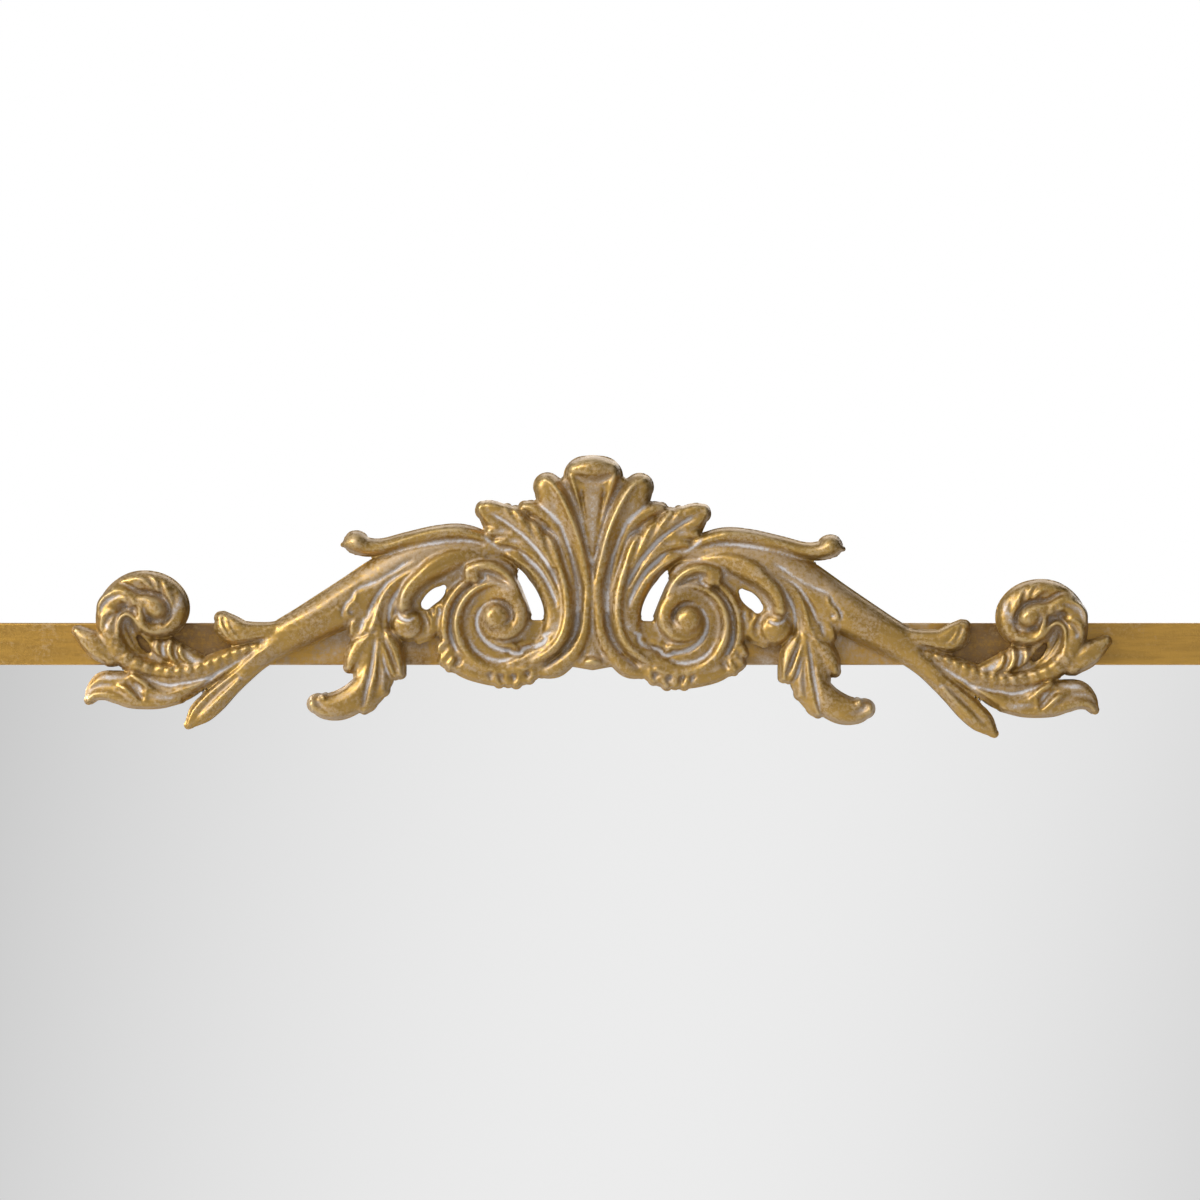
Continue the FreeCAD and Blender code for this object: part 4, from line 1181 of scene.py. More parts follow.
        self.wash((502, 562, 2, 60), (509, 566.6, 4, 65), (514.6, 571, 4, 60), (517, 574, 2.4, 50))

    def v_stem(self) -> None:
        """Stem from the column down and out to the foot."""
        self.ridge(
            (587.5, 584, 6.8, 66), (587.3, 600, 7.2, 66), (586.3, 614, 7.6, 64), (585, 627, 7.8, 62),
            (581.5, 639, 8.4, 60), (575.5, 650, 9, 58), (567, 659, 9.6, 56), (557, 666.5, 10.5, 53),
            (548.5, 670.5, 8.6, 48), (542, 673, 5.4, 42), full=2.4)
        self.groove(
            (566.5, 565, 2, 8), (572, 582, 2.4, 12), (576.5, 597, 2.6, 16), (578.3, 611, 2.8, 18),
            (577.8, 623, 3, 18), (575, 633.5, 3.6, 18), (569, 643.5, 3.6, 18), (560.5, 652, 3.4, 18),
            (551.5, 660, 3, 16), (545, 665, 2.4, 10), pale=0.7)
        self.wash((593, 622, 1.6, 70), (593.4, 634, 2, 80), (594, 646, 2.8, 70), (590, 655, 3, 50))

    def outer_petal(self) -> None:
        """Smooth low petal between the feathered leaf and the inner petal."""
        self.ridge(
            (525, 507.5, 6.6, 58), (532, 509, 8.8, 62), (540, 512.8, 10.4, 64), (548, 518.8, 10.4, 64),
            (554.5, 526.5, 8.6, 64), (559.6, 535.5, 6.8, 62), (563.6, 545, 5.8, 60), (567, 555, 5.2, 58),
            (570, 567, 4.8, 56), (573.2, 581, 4.2, 52), (576, 596, 3.6, 48), (577.5, 612, 3, 42))

    def feather(self) -> None:
        """Feathered leaf turned up to the left, its folded lobes, and the ribs it runs out into."""
        self.ridge(
            (485, 511, 9.6, 50), (494, 517, 16, 55), (505, 524.5, 19, 58), (517, 533, 18.4, 60),
            (529, 543, 15.6, 60), (540, 556, 12, 60), (548.5, 570, 9, 58), (554, 584, 6, 56), full=3.4)
        self.ridge(
            (483.4, 508.6, 7.4, 62), (490.4, 509, 8.6, 67), (500, 512.4, 9.2, 69), (511.6, 519.6, 9.6, 70),
            (523, 528.4, 10.4, 71), (534, 539, 10.4, 72), (544, 551, 9, 73), (551.6, 564, 7.6, 73), full=3.4)
        self.ridge(
            (486, 514, 7.4, 58), (491.6, 520.4, 8, 60), (499, 525.6, 6.6, 60), (507, 530.5, 4.8, 58), full=3)
        self.ridge(
            (491.6, 531.6, 6.8, 58), (499, 532, 7.4, 60), (508, 534, 6.6, 60), (516, 538, 5, 59), full=3)
        self.ridge(
            (500.4, 541.6, 6.2, 58), (508, 542, 7, 60), (516, 544, 6.4, 61), (524, 549, 5, 61),
            (531, 555.6, 4.4, 60), full=3)
        self.add((482.4, 502.6, 2.2, 3), (479.4, 508, 2.4, 5), (482.6, 514.8, 2.6, 6), (488.4, 521.6, 2.2, 3))
        self.ridge(
            (507.6, 509, 5.6, 69), (510.4, 513.6, 6.4, 74), (514, 519.4, 6, 74), (518, 525.4, 4.6, 72),
            lean=0.25)
        self.ridge(
            (516, 511, 5.6, 70), (521, 516.6, 7.6, 77), (526, 524, 8, 79), (531, 533, 7, 77),
            (536, 541.6, 5.4, 74), lean=0.25)
        self.ridge(
            (532, 522.6, 5.6, 71), (537.6, 528.4, 7.8, 78), (541.8, 537, 8.2, 80), (545.8, 547, 7.2, 78),
            (550, 557, 6, 75), (553, 565, 5, 74), lean=0.25)
        self.ridge(
            (547.4, 536.4, 5.4, 71), (551.8, 542, 7.2, 78), (555.2, 550, 7.4, 80), (558, 559, 7.2, 79),
            (561.4, 569.6, 7.4, 79), (565, 582, 8, 79), (567.6, 596, 8.6, 80), (568.4, 610, 8.6, 80),
            (567, 624, 8.6, 80), (562.6, 637, 8.4, 78), (554.5, 648, 8, 74), (544, 656, 7.6, 68),
            (534, 661.6, 6.6, 60), lean=0.15)
        self.ridge(
            (508, 555, 3, 52), (516, 559.4, 4, 57), (524, 564.8, 4.4, 59), (531.5, 571, 4.6, 60),
            (538, 578.6, 4.6, 60), (543.5, 587.6, 4.6, 60), (547.8, 597, 4.4, 60), (550.4, 606.6, 4, 59),
            (552, 616, 3.6, 58), (553, 624, 2.8, 56))
        self.ridge(
            (525, 549.6, 3.6, 58), (533, 556.6, 4.2, 64), (540.4, 564.4, 4.4, 66), (547, 574, 4.4, 66),
            (552.4, 584, 4.2, 65), (556.6, 594, 3.8, 63), (560, 603, 3.4, 61))
        self.groove(
            (486.5, 509.5, 2.6, 3), (492, 513.5, 3, 6), (498, 517, 2.6, 12), (504, 521, 2.4, 15),
            (511, 526, 2.5, 16), (517, 530.6, 2.6, 16), (524, 536.2, 2.8, 17), (530, 542, 3, 18),
            (535, 547.6, 3, 18), (540, 553.4, 3, 18), (545, 560, 2.9, 17), (549.6, 567.6, 2.7, 16),
            (553.6, 575.6, 2.5, 15), (556.6, 581.6, 2.2, 12), (558.4, 586.6, 1.8, 6), pale=1)
        self.groove(
            (518, 550.5, 2, 6), (523.6, 554.6, 2.8, 14), (529, 560, 3.2, 17), (535, 565.6, 3.2, 17),
            (540.6, 571.6, 3.1, 17), (545.4, 578.8, 2.9, 17), (549.8, 586.8, 2.8, 17),
            (553.2, 594.6, 2.5, 15), (555.8, 601.4, 2.2, 12), (556.4, 607.4, 1.8, 6), pale=1)
        self.groove((497.5, 531.6, 2.6, 4), (503, 531.2, 3.4, 8), (509.5, 532, 2.6, 5), pale=0.95)
        self.groove((509, 541, 2.4, 4), (515, 541.2, 3, 8), (521, 543, 2.4, 5), pale=0.95)
        self.groove((484.5, 526.5, 2, 6), (489, 525.6, 2.2, 7), (495.5, 527, 2, 3), pale=0.3)
        self.groove((493, 540, 1.8, 5), (498, 537.8, 2, 6), (505, 537.6, 1.8, 3), pale=0)
        self.wash((501, 510.6, 2.4, 20), (505, 514.6, 3, 30), (511, 520.6, 2.6, 30), (516, 525, 2, 15))
        self.wash((514, 517, 1.8, 15), (518, 523, 2, 25), (524, 531, 2, 20))
        self.wash((529, 525, 1.8, 15), (532, 533, 2, 25), (538, 542, 2, 20))
        self.wash(
            (485.5, 535, 1.6, 60), (487.4, 539.6, 2.2, 90), (492.4, 543.6, 2.4, 90), (498, 548, 2.2, 90),
            (503.4, 550.2, 1.9, 90), (510.6, 549.8, 1.7, 80), (518, 551, 1.6, 50))
        self.wash(
            (537, 518, 1.6, 30), (542, 526.4, 2, 80), (548.6, 530, 2, 85), (553.6, 533, 1.9, 85),
            (558, 538.6, 1.8, 80), (561, 546, 1.6, 50))

    def inner_petal(self) -> None:
        """Tall inner petal that leans on the column: hollow at its left, rolled over at its right."""
        self.ridge(
            (547.5, 487, 14.2, 74), (553.5, 499, 16.8, 76), (562, 511.5, 13.6, 78), (569, 524, 11, 77),
            (573.8, 536, 9.8, 76), (578, 548, 8.9, 75), (582, 560, 8.4, 73), (585, 572, 8, 71),
            (587.5, 585, 7.4, 68), (588.4, 600, 6.8, 65), full=2.6)
        self.ridge(
            (547, 480, 6, 80), (553, 483, 7.6, 86), (559, 489.5, 8, 91), (564.6, 499, 8.2, 94),
            (570, 510.5, 7.8, 94), (575, 522.6, 7, 92), (579, 534.6, 6.2, 89), (582.4, 546.6, 5.6, 85),
            (585.2, 558.6, 5, 80), (587.6, 571, 4.6, 75), (589.4, 583, 4.4, 71), lean=0.35)
        self.groove(
            (547, 499, 6, 4), (555.6, 509, 7, 10), (562.4, 521, 6, 11), (568.4, 534, 5, 10), (573, 546, 4, 7),
            (577, 558, 3, 4), pale=0.22)
        self.wash((553, 503, 3, 30), (554, 508.5, 3.4, 60), (556, 512.5, 2.6, 30))
        self.wash(
            (535, 501, 1.4, 50), (541.4, 505.8, 2, 90), (547.6, 511.6, 2.1, 95), (552.4, 516.8, 2.4, 100),
            (556, 521, 2.6, 100), (559.8, 525, 2.2, 90), (562.4, 531.4, 2, 95), (565.6, 538.6, 2, 95),
            (568.8, 546.6, 1.9, 95), (571.6, 554.6, 1.8, 90), (574, 562.6, 1.7, 85), (576.4, 573, 1.6, 70),
            (577.6, 588, 1.5, 50))

    def hanging_leaf(self) -> None:
        """Hanging acanthus leaf with its lobes, long ribs and hooked tip."""
        self.ridge(
            (436, 565, 7, 50), (416, 576, 11, 60), (397, 590, 15, 64), (381, 607, 18, 62), (372, 628, 20, 60),
            (373, 648, 22, 57), (375, 666, 23, 55), (372, 684, 18.5, 54), (365, 700, 13.5, 54), full=3)
        self.ridge((363, 590, 7, 58), (355.5, 601, 7.4, 58), (351.6, 611, 6.4, 54))
        self.ridge((361, 615, 7, 58), (355.6, 625, 7, 57), (354, 633, 5.6, 52))
        self.ridge(
            (366, 634, 9, 60), (360, 646, 10.5, 62), (354, 658, 9.6, 60), (350.4, 667, 6.4, 52), full=2.4)
        self.ridge((391, 636, 8, 58), (397, 650, 8, 60), (399.6, 664, 6.8, 58), (401, 674, 5.4, 50))
        self.ridge((384, 640, 8, 56), (389, 656, 8, 58), (393, 670, 6.6, 55), (396, 676, 4.4, 48))
        self.ridge((381, 655, 8, 55), (383, 674, 8.6, 56), (382.6, 690, 7.6, 50))
        self.ridge((374, 668, 8, 56), (373, 688, 7.6, 56), (369, 702, 7, 54), (365.4, 709, 5.4, 48))
        self.ridge(
            (371, 668, 10, 60), (366.6, 683, 13, 64), (356.6, 696, 15, 70), (342, 704.4, 15.2, 73),
            (327.5, 706, 13.2, 74), (318, 703.4, 10.2, 72), full=2.4)
        self.groove(
            (317, 698, 2.6, 8), (320.5, 703, 4.4, 14), (327, 707.4, 4, 10), (335, 709.5, 3, 4), pale=0.5)
        self.add((312, 695.5, 3.4, 7), (311.6, 703, 3.6, 10), (315.6, 710.6, 3.4, 6))
        self.ridge((324.4, 696.6, 3.8, 85), (325.4, 696.2, 3.8, 85), full=2.6)
        self.add(
            (330, 695.6, 2.6, 3), (338, 693.6, 2.8, 7), (346, 689, 3, 9), (352.6, 683.4, 3, 10),
            (357, 677, 2.8, 8), (358.6, 671, 2.4, 5))
        self.ridge(
            (428, 566, 3.6, 66), (417, 571.6, 4.4, 70), (404, 578.6, 4.6, 71), (393.6, 587, 4.8, 72),
            (386, 597, 4.8, 73), (381.4, 609, 4.6, 73), (378, 621, 4.4, 72), (373.4, 632, 4.2, 70),
            (366.4, 643, 4, 68), (359, 653.6, 3.8, 65), (351.6, 663, 3.4, 60), lean=0.4)
        self.ridge(
            (414, 566.4, 2.6, 64), (402, 572, 3, 66), (389, 579, 3.2, 66), (377, 586, 3.4, 66),
            (366, 592, 3.4, 65))
        self.ridge(
            (386, 630, 3, 60), (389.6, 640, 3.4, 66), (394.6, 650.6, 3.4, 67), (398, 660, 3.2, 66),
            (400.8, 671, 2.8, 60))
        self.ridge((383, 642, 3, 60), (386.4, 652.6, 3.2, 65), (389.4, 662, 3.2, 64), (393, 672.6, 2.8, 58))
        self.ridge(
            (379.6, 634, 3.2, 60), (378.6, 646, 3.4, 64), (377.4, 660, 3.6, 65), (375.6, 676, 3.6, 65),
            (372.4, 690, 3.4, 64), (368.6, 702, 3.2, 62), (364.4, 710, 2.6, 56))
        self.add(
            (357.6, 592, 2, 5), (357, 600, 2.2, 9), (351.4, 605.4, 2.2, 10), (348.4, 611.6, 2.2, 10),
            (350.6, 616, 2, 8), (357, 617, 2, 5))
        self.groove((351.8, 611.5, 2, 14), (353.4, 612, 2.2, 14), pale=1)
        self.add((357, 619, 2, 5), (352.4, 625.6, 2.4, 9), (350.4, 633, 2.2, 8))
        self.groove((364.6, 619, 2.4, 10), (363, 625, 2.8, 14), (361, 632, 2, 8), pale=0.9)
        self.groove((371, 632.6, 2, 6), (366, 634.6, 2, 8), (360, 637.4, 2, 8), (355, 639.6, 2, 5), pale=0)
        self.groove((380, 630, 2, 6), (374, 632, 2.4, 10), (370, 634.6, 2, 5), pale=0.2)
        self.wash((346.6, 621, 1.8, 50), (346.4, 627, 1.8, 70), (347.6, 634, 1.6, 60))
        self.groove(
            (413, 560.4, 2.2, 6), (404.6, 564.6, 2.4, 12), (396.6, 570.4, 2.4, 12), (388, 575.6, 2.3, 10),
            (379.6, 580.6, 2.3, 10), (370, 584.6, 2.6, 12), (361.4, 587.8, 2.4, 10), (355.6, 592, 2, 10),
            (352.6, 598.4, 1.9, 12), (347.6, 603.6, 2, 14), (344.6, 610, 2.1, 14), (343.6, 616, 1.8, 8),
            pale=0.9)
        self.groove(
            (408, 571, 1.8, 6), (398, 576.4, 2.2, 10), (390, 581.6, 2.3, 12), (384.4, 587.4, 2.4, 14),
            (379.6, 594, 2.6, 15), (375, 601.4, 2.8, 16), (371, 610, 2.6, 15), (367.6, 618.6, 2.2, 10),
            pale=0.9)
        self.groove(
            (387.6, 604, 2.6, 6), (385, 614, 3, 12), (384.4, 626, 2.6, 12), (387, 636, 2, 5), pale=0.35)
        self.groove(
            (377.4, 637, 2, 6), (375.6, 648, 2.4, 13), (373.8, 660, 2.6, 15), (371.8, 672, 2.7, 16),
            (369, 684, 2.7, 16), (366.4, 695, 2.6, 14), (364.4, 705, 2.2, 8))
        self.groove((379.6, 652, 2, 6), (381.4, 668, 2.4, 12), (380, 684, 2.4, 12), (376, 697, 2, 5), pale=0)
        self.groove(
            (384, 654, 1.8, 8), (386, 664, 2.2, 14), (389, 672.6, 2.2, 12), (391.4, 677, 1.8, 5), pale=1)
        self.wash((384.6, 670, 2.4, 40), (383.4, 681, 3, 60), (384.6, 689, 2.4, 40))
        self.groove(
            (386.6, 640, 1.8, 8), (391, 650.4, 2.2, 14), (394.6, 660, 2.4, 15), (398.6, 669.6, 2.2, 10),
            pale=0.9)
        self.groove(
            (420, 576, 2, 8), (413, 578.8, 2.6, 16), (406, 584.6, 2.8, 20), (399.6, 591.4, 2.8, 20),
            (394.4, 599, 2.8, 20), (391, 608, 2.6, 20), (390, 618, 2.6, 20), (392, 628, 2.8, 20),
            (396.8, 635.8, 2.8, 18), (402.8, 642, 2.6, 12), (406.6, 647.6, 2, 5), pale=1)

    def finger(self) -> None:
        """Finger with its pin hole, the ball under it and the small leaf beside."""
        self.ridge((412, 600, 12, 30), (428, 586, 12, 30), (448, 578, 10, 32), full=8)
        self.ridge((420, 638, 6, 34), (431, 630, 8.6, 40), (437, 618, 8, 42), (442, 606, 6, 42), full=3)
        self.ridge((428, 612, 3, 44), (432, 621, 3.4, 48), (431, 631, 3, 44))
        self.ridge((436.6, 607, 2.8, 44), (437.4, 616, 3, 47), (435, 626, 2.8, 44))
        self.groove((440, 608, 2, 8), (440.6, 613, 2.6, 12), (439, 618, 2, 8), pale=0.9)
        self.groove((437, 617.6, 2, 6), (437.6, 621, 2.4, 10), (436.4, 625, 1.8, 6), pale=0.8)
        self.groove((428.6, 621, 2, 6), (430, 626, 2.2, 8), (428, 631, 2, 6), pale=0.6)
        self.ridge((408.6, 624, 17.4, 64), (409.4, 624.4, 17.4, 64), full=3.4)
        self.ridge((408, 621.4, 11.5, 72), (408.8, 621.8, 11.5, 72), full=2.6)
        self.ridge(
            (482, 559, 7, 54), (466, 558, 10.5, 68), (450, 562, 13.5, 80), (435, 569, 13.2, 90),
            (423.6, 577.4, 11, 94), (413.6, 587, 10.2, 96), (407.6, 597, 9.4, 94), (405.8, 606, 8.6, 90),
            full=3, lean=0.2)
        self.groove(
            (398.6, 612, 2, 6), (401.6, 617.4, 2.4, 14), (408.6, 620.2, 2.6, 16), (415, 618, 2.2, 10), pale=1)
        self.groove(
            (397.6, 622, 1.8, 4), (400.6, 629, 2.2, 8), (408, 633.6, 2.4, 9), (416.6, 630, 2, 5), pale=0.3)
        self.groove((405, 610.6, 1.4, 10), (405.8, 610.6, 1.4, 10), pale=0)

    def column(self) -> None:
        """Domed knob with its pin hole, the tapering column under it and the bead at the foot."""
        self.ridge((585, 478, 21.6, 72), (592.5, 477.6, 22, 72), (600, 478, 21.6, 72), full=3)
        self.ridge(
            (592.5, 484, 13, 56), (592.5, 500, 11.4, 56), (592.5, 512, 9.8, 56), (592.5, 530, 7.4, 55),
            (592.5, 545, 5, 53), (592.5, 562, 2.6, 50), full=8)
        self.ridge(
            (571.4, 476, 5.4, 82), (573.8, 484, 5.6, 78), (576, 493, 5, 72), (578.8, 502, 3.8, 66),
            (581.4, 513, 2.8, 62), (584.6, 528, 2.2, 60), (588, 546, 1.6, 56))
        self.ridge(
            (576, 470.4, 9.8, 90), (584, 469.6, 12.4, 97), (592.5, 469.4, 13.6, 100), (601, 469.6, 12.4, 97),
            (609, 470.4, 9.8, 90), full=2.4)
        self.groove((578, 478.6, 2, 5), (582.6, 482.2, 2.4, 12), (592.5, 483.4, 2.4, 13), pale=0)
        self.groove(
            (581.2, 487, 1.6, 5), (581.4, 499, 2, 9), (582.6, 510, 1.8, 7), (585.4, 524, 1.6, 5), pale=0.8)
        self.wash(
            (568.6, 487, 1.2, 40), (573.6, 497, 1.6, 70), (577.6, 507, 1.7, 75), (581, 517, 1.7, 80),
            (583.6, 529, 1.8, 80), (586.4, 541, 1.7, 80), (588.8, 552, 1.7, 85), (591, 561, 2.2, 90),
            (592.4, 566, 1.8, 60))
        self.wash((592.5, 486, 9, 42), (592.5, 505, 8, 50), (592.5, 530, 5.6, 52), (592.5, 550, 3.6, 58))
        self.groove((590.9, 471.5, 1.6, 12), (591.9, 471.5, 1.6, 12), pale=0)
        self.ridge((586.6, 661.4, 5, 58), (589.4, 661.2, 5.8, 64), (592.5, 661, 6, 66), full=2.2)
        self.wash((580, 666, 1.6, 50), (586, 668, 1.6, 55), (592.5, 668.6, 1.6, 55))
        self.wash(
            (541.6, 507, 2.2, 72), (558, 521, 2.4, 80), (566, 540, 2.4, 76), (573.4, 565, 2.6, 80),
            (577, 590, 2.8, 86), (577.6, 612, 3, 86), (573, 638, 3.2, 80), (560, 656, 3, 78),
            (546, 667, 2.4, 60))
        self.wash((580, 662, 2.2, 50), (583, 657.5, 2, 50), (588, 655.6, 1.8, 50))

    def openings(self) -> None:
        """Cuts the openings beside the end scroll, under the finger and beside the volute."""
        self.pierce((140.5, 637.5, 2.6, 0), (146, 645, 4.2, 0), (150.5, 650.5, 2.4, 0))
        self.pierce(
            (427, 604, 5.4, 0), (431, 599.5, 6.3, 0), (437, 594.5, 6.5, 0), (441.6, 590.6, 4.9, 0),
            (444, 588, 3, 0))
        self.pierce(
            (520.2, 574.4, 2.6, 0), (525, 582, 4.6, 0), (530, 591, 6, 0), (534, 600, 6.6, 0),
            (536.8, 608, 6.6, 0), (538, 613, 6.2, 0))
        self.pierce((534, 617.4, 2.6, 0), (541.2, 617.4, 2.6, 0))


@dataclass(frozen=True)
class MirrorFinish:
    """Silvered float glass: a clear front over bright silver, grey-green edges and a painted back."""

    name: str = "silvered_glass"
    silver: Colour = (0.985, 0.985, 0.985)
    edge: Colour = srgb(120, 150, 138)
    paint: Colour = srgb(92, 96, 98)

    def material(self) -> bpy.types.Material:
        """Builds the material; the front face mirrors, the edges and the back do not.

        Returns:
            The glass's material.
        """
        material, s = new_material(self.name)
        front, back = (corner.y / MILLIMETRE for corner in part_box("mirror_glass"))
        y = s.place(1)
        silvered = y.between(front + 0.12, front + 0.02)
        painted = y.between(back - 0.3, back - 0.1)
        colour = s.mixed(painted, s.mixed(silvered, self.edge, self.silver), self.paint)
        roughness = 0.18 - silvered * 0.172 + painted * 0.4
        s.surface(Base_Color=colour, Metallic=silvered, Roughness=roughness)
        return material


@dataclass(frozen=True)
class MetalFinish:
    """Bare or plated metal with rolled or drawn marks, squeezed along each axis by a share, and dull spots."""

    name: str
    bright: Colour
    dull: Colour
    roughness: float = 0.32
    marks: Sequence[float] = (1, 1, 0.08)
    mark_size: float = 0.0016
    spot_size: float = 0.006

    def material(self) -> bpy.types.Material:
        """Builds the material.

        Returns:
            The metal's material.
        """
        material, s = new_material(self.name)
        drawn = s.noise(self.mark_size, detail=4.0, roughness=0.6, stretch=self.marks)
        spots = s.noise(self.spot_size, detail=4.0, roughness=0.6)
        dulled = (spots * 0.7 + drawn * 0.3).between(0.42, 0.68)
        colour = s.mixed(dulled, self.bright, self.dull)
        roughness = self.roughness + dulled * 0.18 + (drawn - 0.5) * 0.1
        s.surface(Base_Color=colour, Metallic=1.0, Roughness=roughness, Normal=s.bump(drawn, 0.00005, 0.4))
        return material


@dataclass(frozen=True)
class HardboardFinish:
    """Pressed fibre board: matted brown fibres, a faint screen weave and paler flecks."""

    name: str = "backing_hardboard"
    pale: Colour = srgb(150, 112, 74)
    dark: Colour = srgb(104, 72, 44)
    fleck: Colour = srgb(186, 154, 112)

    def material(self) -> bpy.types.Material:
        """Builds the material.

        Returns:
            The board's material.
        """
        material, s = new_material(self.name)
        fibres = s.noise(0.0035, detail=6.0, roughness=0.7, stretch=(1, 1, 0.35), distortion=1.2)
        cloud = s.noise(0.09, detail=3.0)
        flecks = s.noise(0.0012, detail=2.0).between(0.66, 0.74)
        weave = s.node("ShaderNodeTexWave", {"wave_type": "BANDS", "bands_direction": "DIAGONAL"},
                       {"Vector": s.stretched(1, 0, 1), "Scale": 420.0, "Distortion": 1.5})
        share = (fibres * 0.75 + cloud * 0.25).between(0.34, 0.68)
        colour = s.mixed(flecks * 0.5, s.mixed(share, self.dark, self.pale), self.fleck)
        normal = s.bump(fibres * 0.7 + weave * 0.3, 0.0003, 0.6)
        s.surface(Base_Color=colour, Roughness=0.82 - share * 0.1, Normal=normal)
        return material


@dataclass(frozen=True)
class RubberFinish:
    """Clear-grey rubber pad, a little dusty."""

    name: str = "bumper_rubber"
    rubber: Colour = srgb(70, 70, 72)
    dust: Colour = srgb(120, 118, 114)

    def material(self) -> bpy.types.Material:
        """Builds the material.

        Returns:
            The rubber's material.
        """
        material, s = new_material(self.name)
        dust = s.noise(0.0025, detail=5.0, roughness=0.7).between(0.45, 0.75)
        colour = s.mixed(dust * 0.35, self.rubber, self.dust)
        normal = s.bump(s.noise(0.0006), 0.00008, 0.5)
        s.surface(Base_Color=colour, Roughness=0.62 + dust * 0.2, Normal=normal)
        return material


# Crest casting


